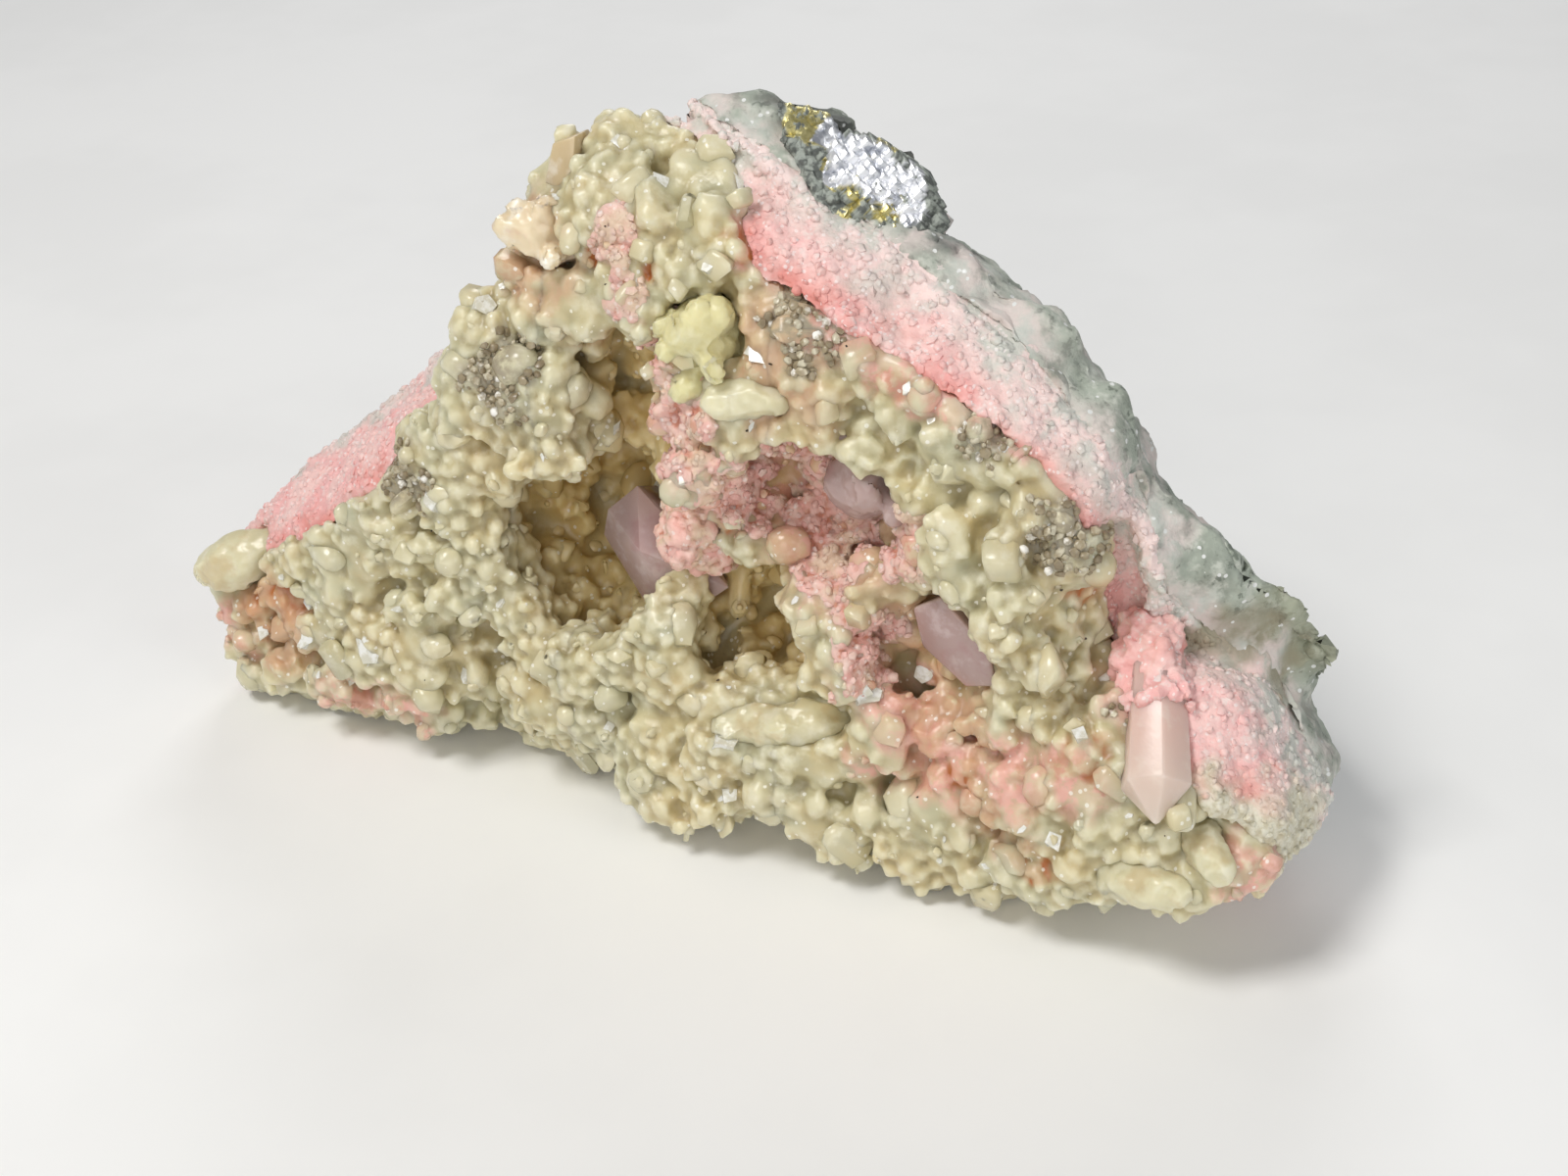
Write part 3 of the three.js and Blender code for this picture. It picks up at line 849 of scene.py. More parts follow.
# %% Long crystals that stand out of the crust
FINGERS = [
    ((-32.6, -19.4, 19), (0.05, -0.4, -1), 5.4, 2.5), ((-1.2, -13.4, 54.4), (0.6, -0.8, -0.3), 4.4, 2.4),
    ((2, -13.6, 52), (0.3, -0.7, -0.7), 4, 2.4), ((2.1, -10.2, 20.6), (0.1, -0.5, -1), 4.4, 2),
    ((10.6, -14, 46.6), (-0.3, -0.8, -0.6), 4, 2.2), ((24.4, -16, 13.6), (-0.3, -0.9, -0.5), 4.4, 2.3),
    ((21.5, -15, 12.6), (-0.5, -0.8, -0.4), 4.4, 2.2), ((29.6, -17, 7.8), (0.2, -0.9, -0.5), 4.8, 2.6),
    ((34, -17.6, 9.4), (0.5, -0.8, -0.2), 4.4, 2.6), ((39.6, -17, 8.6), (-0.1, -0.9, -0.3), 4, 2.8),
    ((27, -16.6, 4.6), (-0.2, -0.9, -0.1), 3.8, 2.8), ((22.4, -14.6, 4.6), (-0.1, -0.9, -0.1), 3.8, 3),
    ((-14, -17.6, 11), (-0.3, -0.9, 0.1), 3.6, 2.8), ((-4, -17.4, 14), (0.1, -0.8, 0.6), 3.4, 3),
    ((1.5, -17.2, 15.4), (0, -0.7, 0.7), 3.4, 3.2), ((-8.4, -13.8, 37), (0.8, -0.6, 0.1), 4, 3),
    ((-6.5, -15.2, 44.6), (0.5, -0.85, 0), 3.6, 3.2), ((-16, -16.6, 42.6), (-0.2, -0.9, 0.3), 3.4, 3),
    ((28, -16.2, 27.8), (-0.1, -0.9, -0.4), 3.6, 3.4), ((31.4, -15.8, 24), (0.4, -0.9, -0.1), 3.2, 3),
    ((13.2, -16.4, 24), (-0.2, -0.9, -0.3), 3.8, 2.8), ((4, -12.2, 53.6), (0.2, -0.8, 0.4), 3.8, 3),
    ((-24, -18.6, 22), (-0.2, -0.9, 0.3), 3.4, 3), ((-27, -19, 8.6), (0.2, -0.95, -0.1), 3.2, 2.6),
    ((8, -18.6, 8), (0.3, -0.9, -0.2), 3.8, 3.2), ((-2, -19, 6), (-0.2, -0.95, -0.1), 3.6, 3.2),
    ((17, -17, 8), (0.3, -0.9, -0.2), 3.8, 2.8), ((43, -17, 16.4), (0.3, -0.8, -0.5), 3.4, 2.2),
    ((37, -17.4, 14), (-0.2, -0.9, -0.4), 4, 2.4), ((31, -17.4, 12.6), (0.1, -0.9, -0.5), 4, 2.4),
]


places, ways, tall, wide = (np.array(column, float) for column in zip(*FINGERS))
luck = np.random.default_rng(181).random((len(places), LUCK))
ways /= np.linalg.norm(ways, axis=1)[:, None]
fingers = grow("fingers", FINGER_KINDS, places, ways, luck, tall * 1.1, wide / tall * 1.1, 0.3, odd=0.15)

# %% Small crystals over everything
spots, facing, luck = open_spots(crust, "calcite_druse", 90000, 128, BEHIND_DRUSE, 0.5)
patchy = ripple(spots, 9, 135) + ripple(spots, 3, 136) * 0.5 > -0.5
spots, facing, luck = only(patchy, spots, facing, luck)
size = 0.85 + 0.75 * luck[:, 5] ** 2
facing = bunched(spots, facing, 0.6, 138)
kept = spaced(spots, size, 0.8)
mostly_blocks = NODULES + BLOCKS + BLOCKS
small = grow("small_crystals", mostly_blocks, *only(kept, spots, facing, luck, size), 1.1, 0.62, odd=0.35)
crust = fuse("druse_crust", [crust, fingers, small], 0.3)
rest_on_floor(crust)
print("small crystals:", len(kept), "crust:", len(crust.data.polygons), "faces")

# %% Finishing the crust
def split_across(piece, names):
    """Cuts a piece, from left to right, into as many pieces with equally many faces as there are names."""
    centres = np.array([p.center.x for p in piece.data.polygons])
    limits = np.quantile(centres, np.arange(1, len(names)) / len(names))
    parts = []
    for limit in limits:
        choose(piece)
        bpy.context.tool_settings.mesh_select_mode = (False, False, True)
        mesh = piece.data
        mesh.vertices.foreach_set("select", np.zeros(len(mesh.vertices), bool))
        mesh.edges.foreach_set("select", np.zeros(len(mesh.edges), bool))
        mesh.polygons.foreach_set("select", [bool(p.center.x < limit) for p in mesh.polygons])
        bpy.ops.object.mode_set(mode="EDIT")
        bpy.ops.mesh.separate(type="SELECTED")
        bpy.ops.object.mode_set(mode="OBJECT")
        parts += [other for other in bpy.context.selected_objects if other is not piece]
    parts.append(piece)
    for part, name in zip(parts, names):
        part.name = part.data.name = name
    return parts


thin_hidden(crust, faces_into(crust, "rhodochrosite_layer", "wall_rock"), 0.72)
keep_value(crust, "tone", ripple(points_of(crust), 3, 91) * 0.3 + 0.5)
paint_bends(crust)
paint_patches(crust)
whole_crust = crust.copy()
whole_crust.data = crust.data.copy()
crusts = split_across(crust, ["druse_crust_left", "druse_crust_middle", "druse_crust_right"])
shown(crusts[0], "druse", "calcite_druse")
for piece in crusts[1:]:
    shown(piece, "druse")
crust = whole_crust

# %% [markdown]
# ## Sharp crystals on the crust
#
# The last generation is crisp. These crystals keep their own flat faces and edges, which catch the light,
# and stand about three quarters buried in the fused skin.

# %% Sowing the sharp crystals
spots, facing, luck = open_spots(crust, "calcite_druse", 50000, 121, BEHIND_DRUSE, 0.6)
size = np.clip(np.exp(0.25 + 0.35 * bell(luck[:, 5])) * size_here(spots), 0.7, 3.0)
kept = spaced(spots, size, 1.9)
kept = kept[distance_to(spots[kept], *BIG_CRYSTALS) > size[kept] * 0.3]
spots, facing, luck, size = only(kept, spots, facing, luck, size)
facing = bunched(spots, facing, 0.5, 123)
crisp_recipes = [
    ("druse_nodules", NODULES, 1, 1.1, 0.76),
    ("druse_blocks", BLOCKS, 1.1, 1.0, 0.72),
    ("druse_prisms", BLUNTS, 1.4, 0.8, 0.78),
]
crisp_pieces = grow_three(crisp_recipes, luck[:, 6] < 0.34, 0.7, 0.35, spots, facing, luck, size)
for piece in crisp_pieces:
    keep_value(piece, "crease", np.zeros(len(piece.data.vertices)))
    paint_patches(piece)
    rest_on_floor(piece)
    shown(piece, "druse")

# %% [markdown]
# ## Sugar on the pink
#
# Darts sow grains of a third to four fifths of a millimetre over the open face of the pink band. Where
# rhodochrosite grew through the druse, it stands in buds instead: these are sown closely, fused into
# lumps like tiny bunches of grapes, and sprinkled with grains of their own.

# %% Sowing the pink grains
spots, facing, luck = open_spots(band, "rhodochrosite_layer", 46000, 131, ("wall_rock", "calcite_druse"), 0.5)
size = 0.35 + 0.45 * luck[:, 5]
kept = spaced(spots, size, 0.75)
pink_grains = grow("rhodochrosite_grains", GRAINS, *only(kept, spots, facing, luck, size), 1.15, 0.55)
paint_band(pink_grains)
rest_on_floor(pink_grains)
shown(pink_grains, "rhodochrosite")

# %% Sowing the buds in the druse, and their grains
BUDDED = BLUSH[:10] + BLUSH[14:15]


def fused_buds(name, grains, voxel, seed):
    """Fuses grains into buds, and keeps their tone, their hollows and their edges."""
    buds = fuse(name, [grains], voxel)
    keep_value(buds, "tone", ripple(points_of(buds), 1.6, seed) * 0.35 + 0.5)
    paint_bends(buds, rounds=4, hollow=0.05, edge=0.06)
    shown(buds, "rhodochrosite")
    return buds


spots, facing, luck = open_spots(crust, "calcite_druse", 130000, 141, BEHIND_DRUSE, 0.5)
rosy = patch_mask(spots, BUDDED, 11) > np.clip(0.4 + 0.3 * ripple(spots, 2.5, 143), 0.2, 0.9)
spots, facing, luck = only(rosy, spots, facing, luck)
size = 0.45 + 0.75 * luck[:, 5] ** 2
kept = spaced(spots, size, 0.46)
print("buds:", len(kept))
pink_buds = grow("rhodochrosite_buds", GRAINS, *only(kept, spots, facing, luck, size), 1.3, 0.55, odd=0.4)
pink_buds = fused_buds("rhodochrosite_buds", pink_buds, 0.2, 145)

spots, facing, luck = darts(pink_buds, "calcite_druse", 60000, 147)
spots, facing, luck = only(patch_mask(spots, BUDDED, 11) > 0.35, spots, facing, luck)
size = 0.28 + 0.4 * luck[:, 5]
kept = spaced(spots, size, 0.8)
spots, facing, luck, size = only(kept, spots, facing, luck, size)
bud_grains = grow("rhodochrosite_bud_grains", GRAINS, spots, facing, luck, size, 1.2, 0.4, odd=0.4)
keep_value(bud_grains, "crease", np.zeros(len(bud_grains.data.vertices)))
shown(bud_grains, "rhodochrosite")
print("bud grains:", len(kept))

# %% [markdown]
# ## Bloom, specks and bright faces
#
# Three small things make the druse look real: a bloom of tiny sparkling grains, black specks in the
# hollows, and here and there a flat cleavage face that lies just right to throw the lamp's light back. A
# face does that when it looks halfway between the lamp and the camera.

# %% Sowing the bloom
spots, facing, luck = open_spots(crust, "calcite_druse", 90000, 151, BEHIND_DRUSE, 0.3)
spots, facing, luck = only(patch_mask(spots, BLOOM, 31) > 0.3, spots, facing, luck)
size = 0.3 + 0.5 * luck[:, 5]
kept = spaced(spots, size, 0.75)
bloom = grow("bloom_grains", GRAINS, *only(kept, spots, facing, luck, size), 1.1, 0.3)
shown(bloom, "druse")

# %% Sowing the specks
spots, facing, luck = darts(crust, "calcite_druse", 7000, 161)
chosen = luck[:, 6] < 0.008 + 0.12 * patch_mask(spots, BLOOM, 31) * (spots[:, 2] > 1)
spots, facing, luck = only(chosen, spots, facing, luck)
specks = grow("black_specks", GRAINS, spots, facing, luck, 0.14 + 0.22 * luck[:, 5], 0.9, 0.3, odd=0.5)
shown(specks, "druse")

# %% Setting the bright faces
BRIGHT = [
    ((-19.7, -19.9, 28.4), 2.4), ((-36.3, -20.3, 11), 2.2), ((-29.2, -20.5, 12), 2.4),
    ((-33.4, -20.6, 8.1), 2), ((-36.5, -20, 13.6), 1.5), ((-6.2, -18.7, 9), 1.6),
    ((16.4, -17.8, 19.3), 2.2), ((17.5, -17.6, 18.4), 2), ((20.4, -13.7, 18.6), 1.7),
    ((34.2, -11.4, 21), 1.2), ((6.7, -19.9, 13.2), 1.8), ((-1.4, -12.5, 54.5), 1.6),
    ((3.9, -10.2, 54.8), 1.3), ((9.1, -15.4, 44.7), 1.5), ((-14.1, -17.2, 45.2), 1.6),
    ((-20.7, -19.9, 10.5), 1.2),
]
HALFWAY = np.array((Vector(KEY_LAMP).normalized() - CAMERA_LOOK).normalized())
crust_tree = tree_of(crust)
spots, facing, size = [], [], []
for place, wide in BRIGHT:
    at, normal, _, _ = crust_tree.find_nearest(Vector(place) * MM)
    spots.append(np.array(at) / MM)
    facing.append(np.array(normal))
    size.append(wide)
more, ways, luck = darts(crust, "calcite_druse", 4000, 171)
turned = (ways @ HALFWAY > 0.6) & (luck[:, 6] < 0.06)
turned &= distance_to(more, *BEHIND_DRUSE) > 1
spots = np.concatenate([spots, more[turned]])
facing = np.concatenate([facing, ways[turned]])
size = np.concatenate([size, 0.5 + 0.6 * luck[turned, 5]])
luck = np.concatenate([np.random.default_rng(174).random((len(BRIGHT), LUCK)), luck[turned]])
facing = facing * 0.6 + HALFWAY * 0.8 + (luck[:, 3:6] - 0.5) * 0.4
facing /= np.linalg.norm(facing, axis=1)[:, None]
bright = grow("bright_faces", PLATES, spots, facing, luck, size, 1.0, 0.42, odd=0.5)
shown(bright, "druse")
bpy.data.objects.remove(crust)

# %% [markdown]
# ## The big crystals, one by one
#
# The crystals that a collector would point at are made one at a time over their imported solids. The round
# ones get an even mesh, lobes where they have them, and flat growth faces pressed on by the same tool that
# chipped the rock. The sharp ones keep their planes, and only their edges are eased.

# %% A rounded crystal
def rounded(node, slot, faces, lobes=(), voxel=0.25, seed=1, wave=0.12, swell=0.15):
    """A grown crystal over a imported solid. lobes are (place, size, way) of buds that join it."""
    piece = stone_from(node, node + "_grown", voxel, swell=swell)
    if lobes:
        places, sizes, ways = (np.array(column, float) for column in zip(*lobes))
        ways /= np.linalg.norm(ways, axis=1)[:, None]
        luck = np.random.default_rng(seed).random((len(lobes), LUCK))
        buds = grow(node + "_buds", NODULES, places, ways, luck, sizes, 0.85, 0.3)
        piece = fuse(node + "_grown", [piece, buds], voxel)
    choose(piece)
    finish_with(piece, "SMOOTH", factor=0.5, iterations=3)
    low, high = points_of(piece).min(0), points_of(piece).max(0)
    across = np.sort(high - low)[1]
    chip(piece, node, faces, across * 0.3, across * 0.05, seed)
    roughen(piece, [(across * 0.5, wave), (0.9, wave * 0.3)], seed)
    points = points_of(piece)
    keep_value(piece, "rise", ease(-points[:, 1], -high[1], -low[1]))
    paint_bends(piece, rounds=6, hollow=0.08, edge=0.08)
    keep_value(piece, "tone", ripple(points, 3, seed + 7) * 0.3 + 0.5)
    shown(piece, slot, node)
    return piece


# %% A sharp crystal
def sharp(node, slot, edge, buried=0.0, spin=0.0):
    """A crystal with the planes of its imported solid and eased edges. buried is the share of its length that
    is pushed in at the root, and spin turns it about its own axis, in degrees."""
    piece = solid_copy(node, node + "_grown", flat=math.radians(2))
    corner = math.radians(20)
    finish_with(piece, "BEVEL", width=edge * MM, segments=2, limit_method="ANGLE", angle_limit=corner)
    points = points_of(piece)
    tip = points[points[:, 1].argmin()]
    axis = points[points[:, 1].argmax()] - tip
    along = (points - tip) @ axis / (axis @ axis)
    points -= np.clip(along - (1 - buried), 0, None)[:, None] * axis
    turn = np.array(Matrix.Rotation(math.radians(spin), 3, Vector(axis)))
    points = (points - tip) @ turn.T + tip
    set_points(piece, points)
    keep_value(piece, "rise", 1 - along)
    shown(piece, slot, node)
    return piece


# %% Growing them
knob_lobes = [
    ((-10, -15.4, 50.6), 3.4, (-0.6, -0.7, -0.1)), ((-9, -14.6, 52.6), 3, (-0.4, -0.5, 0.7)),
    ((-11, -15.4, 53), 2.6, (-0.7, -0.6, 0.6)), ((-8, -15.6, 49.6), 3, (0, -1, -0.2)),
]
yellow_lobes = [
    ((3.4, -16.4, 42.2), 4, (-0.2, -0.8, -0.6)), ((6, -15.6, 47), 3.2, (0.5, -0.6, 0.6)),
    ((1.6, -16, 46), 3, (-0.7, -0.6, 0.4)), ((5.8, -17.2, 44.2), 2.8, (0.6, -0.8, -0.1)),
    ((2.6, -17.4, 44.4), 2.6, (-0.5, -0.8, 0.1)), ((4.6, -16.8, 47.4), 2.4, (0.1, -0.7, 0.7)),
]
lip_lobes = [((6, -18.6, 12.6), 3.6, (-0.4, -0.9, 0.2)), ((10, -18.2, 13.4), 3.2, (0.2, -0.8, 0.6))]
upper_lobes = [((15.6, -14.6, 37.6), 3, (0, -0.6, 0.8)), ((18.8, -14.2, 33.4), 2.6, (0.6, -0.8, -0.1))]
left_end = rounded("left_end_crystal", "calcite", 16, seed=201, swell=-0.25)
knob = rounded("crest_knob_crystal", "calcite", 40, knob_lobes, seed=202)
yellow = rounded("yellow_calcite", "calcite", 24, yellow_lobes, seed=203, wave=0.2, swell=-0.2)
ceiling = rounded("ceiling_crystal", "calcite", 24, seed=204)
lip = rounded("lip_crystal", "calcite", 30, lip_lobes, seed=205)
foot_left = rounded("foot_crystal_left", "calcite", 24, seed=206)
foot_right = rounded("foot_crystal_right", "calcite", 24, seed=207)
upper = rounded("lavender_upper", "lavender", 14, upper_lobes, seed=208)
ball = rounded("rhodochrosite_ball", "rhodochrosite", 6, seed=209, wave=0.25)
block = sharp("lavender_block", "lavender", 0.25)
slab = sharp("lavender_slab", "lavender", 0.25)
quartz = sharp("quartz_point", "quartz", 0.14, buried=0.16, spin=22)
blade = sharp("crest_blade_crystal", "calcite", 0.12)

# %% [markdown]
# ## The sugar at the quartz point's root
#
# The quartz point stands in a mound of pink sugar. A few nodules make the mound, grains clad the lower part
# of the point, fewer the further they are from its root, and all of them are fused into one skin. The ball
# in the cavity's mouth gets its own coat of fused grains.

# %% Fusing the mound and the grains
QUARTZ_ROOT, QUARTZ_TIP = np.array([36.8, -9.5, 24]), np.array([42.2, -20, 15.6])
MOUND = [
    ((37.2, -10.4, 23.8), 4.4), ((38.6, -11.2, 22.6), 4), ((36.8, -9.6, 22.4), 4.6),
    ((39.6, -11, 21), 3.8), ((37.6, -9.4, 24.4), 3.8), ((36.6, -10.8, 21.6), 3.8),
]
MOUND_FACING = np.array([0.35, -0.6, 0.7])

axis = QUARTZ_TIP - QUARTZ_ROOT
spots, facing, luck = darts(quartz, "quartz_point", 12000, 191)
along = (spots - QUARTZ_ROOT) @ axis / (axis @ axis)
spots, facing, luck = only(luck[:, 6] < 1 - ease(along, 0.2, 0.42), spots, facing, luck)
size = 0.4 + 0.45 * luck[:, 5]
kept = spaced(spots, size, 0.5)
quartz_sugar = grow("quartz_sugar", GRAINS, *only(kept, spots, facing, luck, size), 1.2, 0.5, odd=0.4)
places, wide = (np.array(column, float) for column in zip(*MOUND))
ways = np.tile(MOUND_FACING, (len(places), 1))
luck = np.random.default_rng(195).random((len(places), LUCK))
mound = grow("quartz_mound", NODULES, places, ways, luck, wide, 1.25, 0.5)
quartz_sugar = fuse("quartz_sugar", [quartz_sugar, mound], 0.25)
roughen(quartz_sugar, [(3, 0.3), (1.2, 0.2), (0.7, 0.1)], seed=196)
paint_band(quartz_sugar)
fade = 1 - ease(distance_to(points_of(quartz_sugar), "wall_rock"), 0.3, 2.5)
keep_value(quartz_sugar, "near_rock", fade * 0.6)
keep_value(quartz_sugar, "near_druse", 0.3 + ripple(points_of(quartz_sugar), 2.5, 197) * 0.2)
shown(quartz_sugar, "rhodochrosite")

# %% The ball's coat of grains
spots, facing, luck = darts(ball, "rhodochrosite_ball", 1500, 211)
size = 0.5 + 0.7 * luck[:, 5]
kept = spaced(spots, size, 0.75)
ball_grains = grow("rhodochrosite_ball_grains", GRAINS, *only(kept, spots, facing, luck, size), 1.2, 0.4)
ball_grains = fused_buds("rhodochrosite_ball_grains", ball_grains, 0.16, 146)

# %% [markdown]
# ## The ore
#
# Galena cleaves into cubes, so broken galena is a flight of tiny bright steps, which all lie the same way.
# Chalcopyrite breaks unevenly, and sits against it as brass-yellow grains.

# %% Building the ore
SILVER = [
    ((10.2, -5, 57), 2.0), ((11.6, -5, 56), 2.3), ((13, -4.9, 55), 2.5), ((14.4, -4.8, 54), 2.2),
    ((15.3, -5, 53), 1.7),
]
BRASSY = [
    ((8.3, -5, 58.6), 2.3), ((9.4, -3.6, 58.4), 1.6), ((12.9, -3, 56.6), 1.1), ((10.2, -6.6, 56.2), 1.1),
    ((12.4, -6.8, 54.5), 1.5), ((14.4, -6.6, 52.8), 1.4),
]


def ore(node, slot, kinds, count, low, high, closeness, seed, turn=None):
    """A solid of ore and the grains on it, from low to high millimetres. turn lays them all one way."""
    heart = stone_from(node, node + "_heart", 0.35, swell=0.1)
    spots, facing, luck = darts(heart, node, count, seed)
    size = low + (high - low) * luck[:, 5]
    kept = spaced(spots, size, closeness)
    turns = None if turn is None else np.repeat(np.array(turn)[None], len(kept), 0)
    grown_from = only(kept, spots, facing, luck, size)
    grains = grow(node + "_grains", kinds, *grown_from, 1.0, 0.6, turns, odd=0.4)
    for piece in (heart, grains):
        keep_patches(piece, silver=(SILVER, 225), brassy=(BRASSY, 226))
    shown(heart, slot, node)
    shown(grains, slot)
    return heart, grains


CLEAVAGE_TURN = Matrix.Rotation(0.5, 3, "Z") @ Matrix.Rotation(-0.75, 3, "Y") @ Matrix.Rotation(0.45, 3, "X")
galena = ore("galena", "galena", CLEAVAGE, 3000, 0.4, 1.3, 0.5, 221, CLEAVAGE_TURN)
chalcopyrite = ore("chalcopyrite", "chalcopyrite", GRAINS + BLOCKS, 1500, 0.5, 1.3, 0.7, 231)

# %% [markdown]
# ## Shared effects for the finishes
#
# Three small node groups do what several finishes need: a soft mottle, scattered flecks, which the finishes
# use as painted glints, and the fine unevenness of a mineral's skin. Each measures in millimetres, and reads
# the object's own coordinates, so a pattern stays on its piece.

# %% Node helpers
MIX_ONE, MIX_OTHER, MIXED = 6, 7, 2


def feed(tree, socket, value):
    """Sets a socket to a plain value, or links another socket into it."""
    if isinstance(value, bpy.types.NodeSocket):
        tree.links.new(value, socket)
    elif isinstance(value, tuple):
        socket.default_value = (*value, 1) if socket.type == "RGBA" else value
    else:
        socket.default_value = value


def add(tree, kind, inputs=None, **settings):
    """A new node with these settings, and its inputs fed by name or number."""
    made = tree.nodes.new(kind)
    for key, value in settings.items():
        setattr(made, key, value)
    for key, value in (inputs or {}).items():
        feed(tree, made.inputs[key], value)
    return made


def mix(tree, share, one, other):
    """One colour at a share of 0, and the other at 1."""
    inputs = {"Factor": share, MIX_ONE: one, MIX_OTHER: other}
    return add(tree, "ShaderNodeMix", inputs, data_type="RGBA").outputs[MIXED]


def maths(tree, what, one, other, clamp=True):
    """A sum or product of two values, kept between 0 and 1 if clamp says so."""
    return add(tree, "ShaderNodeMath", {0: one, 1: other}, operation=what, use_clamp=clamp).outputs[0]


def times(tree, one, share):
    """A value times a share of it, or the value alone where no share is given."""
    return one if share is None else maths(tree, "MULTIPLY", one, share)


def stored(tree, name, share=None):
    """The value that was kept for each vertex under this name, times a share."""
    return times(tree, add(tree, "ShaderNodeAttribute", attribute_name=name).outputs["Fac"], share)


def ease_node(tree, value, low, high):
    """The node that does what ease does: it rises softly from 0 at low to 1 at high."""
    inputs = {"Value": value, "From Min": low, "From Max": high}
    return add(tree, "ShaderNodeMapRange", inputs, interpolation_type="SMOOTHSTEP").outputs[0]


def millimetres(tree, size):
    """The object's coordinates, in steps of size millimetres."""
    place = add(tree, "ShaderNodeTexCoord").outputs["Object"]
    metres = maths(tree, "MULTIPLY", size, MM, clamp=False)
    steps = maths(tree, "DIVIDE", 1.0, metres, clamp=False)
    return add(tree, "ShaderNodeVectorMath", {0: place, "Scale": steps}, operation="SCALE").outputs[0]


def new_group(name, inputs, output, kind="NodeSocketFloat"):
    """A node group with these inputs and their usual values, and one output."""
    tree = bpy.data.node_groups.new(name, "ShaderNodeTree")
    for label, value in inputs.items():
        socket = tree.interface.new_socket(label, in_out="INPUT", socket_type="NodeSocketFloat")
        socket.default_value = value
    tree.interface.new_socket(output, in_out="OUTPUT", socket_type=kind)
    return tree, add(tree, "NodeGroupInput").outputs, add(tree, "NodeGroupOutput").inputs[0]


# %% The mottle
mottle_tree, taken, given = new_group("mottle", {"Size": 4, "Low": 0.4, "High": 0.6}, "Amount")
place = millimetres(mottle_tree, taken["Size"])
noise = add(mottle_tree, "ShaderNodeTexNoise", {"Scale": 1, "Detail": 4, "Roughness": 0.6, "Vector": place})
feed(mottle_tree, given, ease_node(mottle_tree, noise.outputs[0], taken["Low"], taken["High"]))

# %% The flecks
FLECK_RADIUS = 0.48

fleck_tree, taken, given = new_group("flecks", {"Size": 1, "Share": 0.2}, "Amount")
place = millimetres(fleck_tree, taken["Size"])
cells = add(fleck_tree, "ShaderNodeTexVoronoi", {"Scale": 1, "Randomness": 1, "Vector": place}, feature="F1")
chance = add(fleck_tree, "ShaderNodeSeparateColor", {0: cells.outputs["Color"]}).outputs[0]
chosen = maths(fleck_tree, "LESS_THAN", chance, taken["Share"])
centre = maths(fleck_tree, "LESS_THAN", cells.outputs["Distance"], FLECK_RADIUS)
feed(fleck_tree, given, times(fleck_tree, chosen, centre))

# %% The skin
DUST_BEND, FACET_HEIGHT, SKIN_HEIGHT = (1.2, 1.2, 1.2), 0.35, 0.15 * MM

skin_inputs = {"Size": 0.6, "Strength": 0.3}
skin_tree, taken, given = new_group("mineral_skin", skin_inputs, "Normal", "NodeSocketVector")
place = millimetres(skin_tree, taken["Size"])
dust = add(skin_tree, "ShaderNodeTexNoise", {"Scale": 1.4, "Detail": 4, "Vector": place})
bent_inputs = {0: dust.outputs["Color"], 1: DUST_BEND, 2: place}
bent = add(skin_tree, "ShaderNodeVectorMath", bent_inputs, operation="MULTIPLY_ADD").outputs[0]
facets = add(skin_tree, "ShaderNodeTexVoronoi", {"Scale": 1, "Vector": bent}, feature="F2")
rise = maths(skin_tree, "MULTIPLY", facets.outputs["Distance"], FACET_HEIGHT, clamp=False)
height = maths(skin_tree, "ADD", dust.outputs[0], rise, clamp=False)
bump_inputs = {"Distance": SKIN_HEIGHT, "Strength": taken["Strength"], "Height": height}
feed(skin_tree, given, add(skin_tree, "ShaderNodeBump", bump_inputs).outputs[0])
print("groups:", [g.name for g in bpy.data.node_groups])

# %% [markdown]
# ## The finishes
#
# Every mineral has one finish. The wax-like glow of calcite and quartz comes from light that enters the
# crystal, scatters and leaves again, which subsurface scattering stands for. A base colour is built in
# layers over a first one, and many layers read the values that we kept on the vertices.

# %% Starting a finish
STONE_IOR = 1.5
WARM_SCATTER = (1.0, 0.92, 0.8)


def finish_named(name, rough, inside=0.0, inside_mm=1.0, coat=0.0):
    """A new finish. inside is how much light scatters under the surface, and inside_mm is how far."""
    material = bpy.data.materials.new(name)
    material.use_nodes = True
    tree = material.node_tree
    tree.nodes.clear()
    shader = add(tree, "ShaderNodeBsdfPrincipled", {
        "Roughness": rough, "IOR": STONE_IOR, "Coat Weight": coat, "Subsurface Weight": inside,
        "Subsurface Radius": WARM_SCATTER, "Subsurface Scale": inside_mm * MM,
    })
    tree.links.new(shader.outputs[0], add(tree, "ShaderNodeOutputMaterial").inputs[0])
    return material, tree, shader


def use_group(tree, group, **inputs):
    inputs = {key.capitalize(): value for key, value in inputs.items()}
    return add(tree, "ShaderNodeGroup", inputs, node_tree=group).outputs[0]


def mottle(tree, size, low=0.4, high=0.6, share=None):
    """Soft clouds about size millimetres wide. The further low and high are up, the less they cover."""
    return times(tree, use_group(tree, mottle_tree, size=size, low=low, high=high), share)


def flecks(tree, size, density, share=None):
    """Small round flecks, in this share of the cells of a grid."""
    return times(tree, use_group(tree, fleck_tree, size=size, share=density), share)


def layered(tree, colour, layers):
    """Lays colours over a first one. Each layer is how much of it shows, and its colour."""
    for share, over in layers:
        colour = mix(tree, share, colour, over)
    return colour


def cover(tree, shader, colour, size=None, strength=None):
    """Feeds a finish its colour, and a skin's fine unevenness if it has one."""
    feed(tree, shader.inputs["Base Color"], colour)
    if size:
        feed(tree, shader.inputs["Normal"], use_group(tree, skin_tree, size=size, strength=strength))


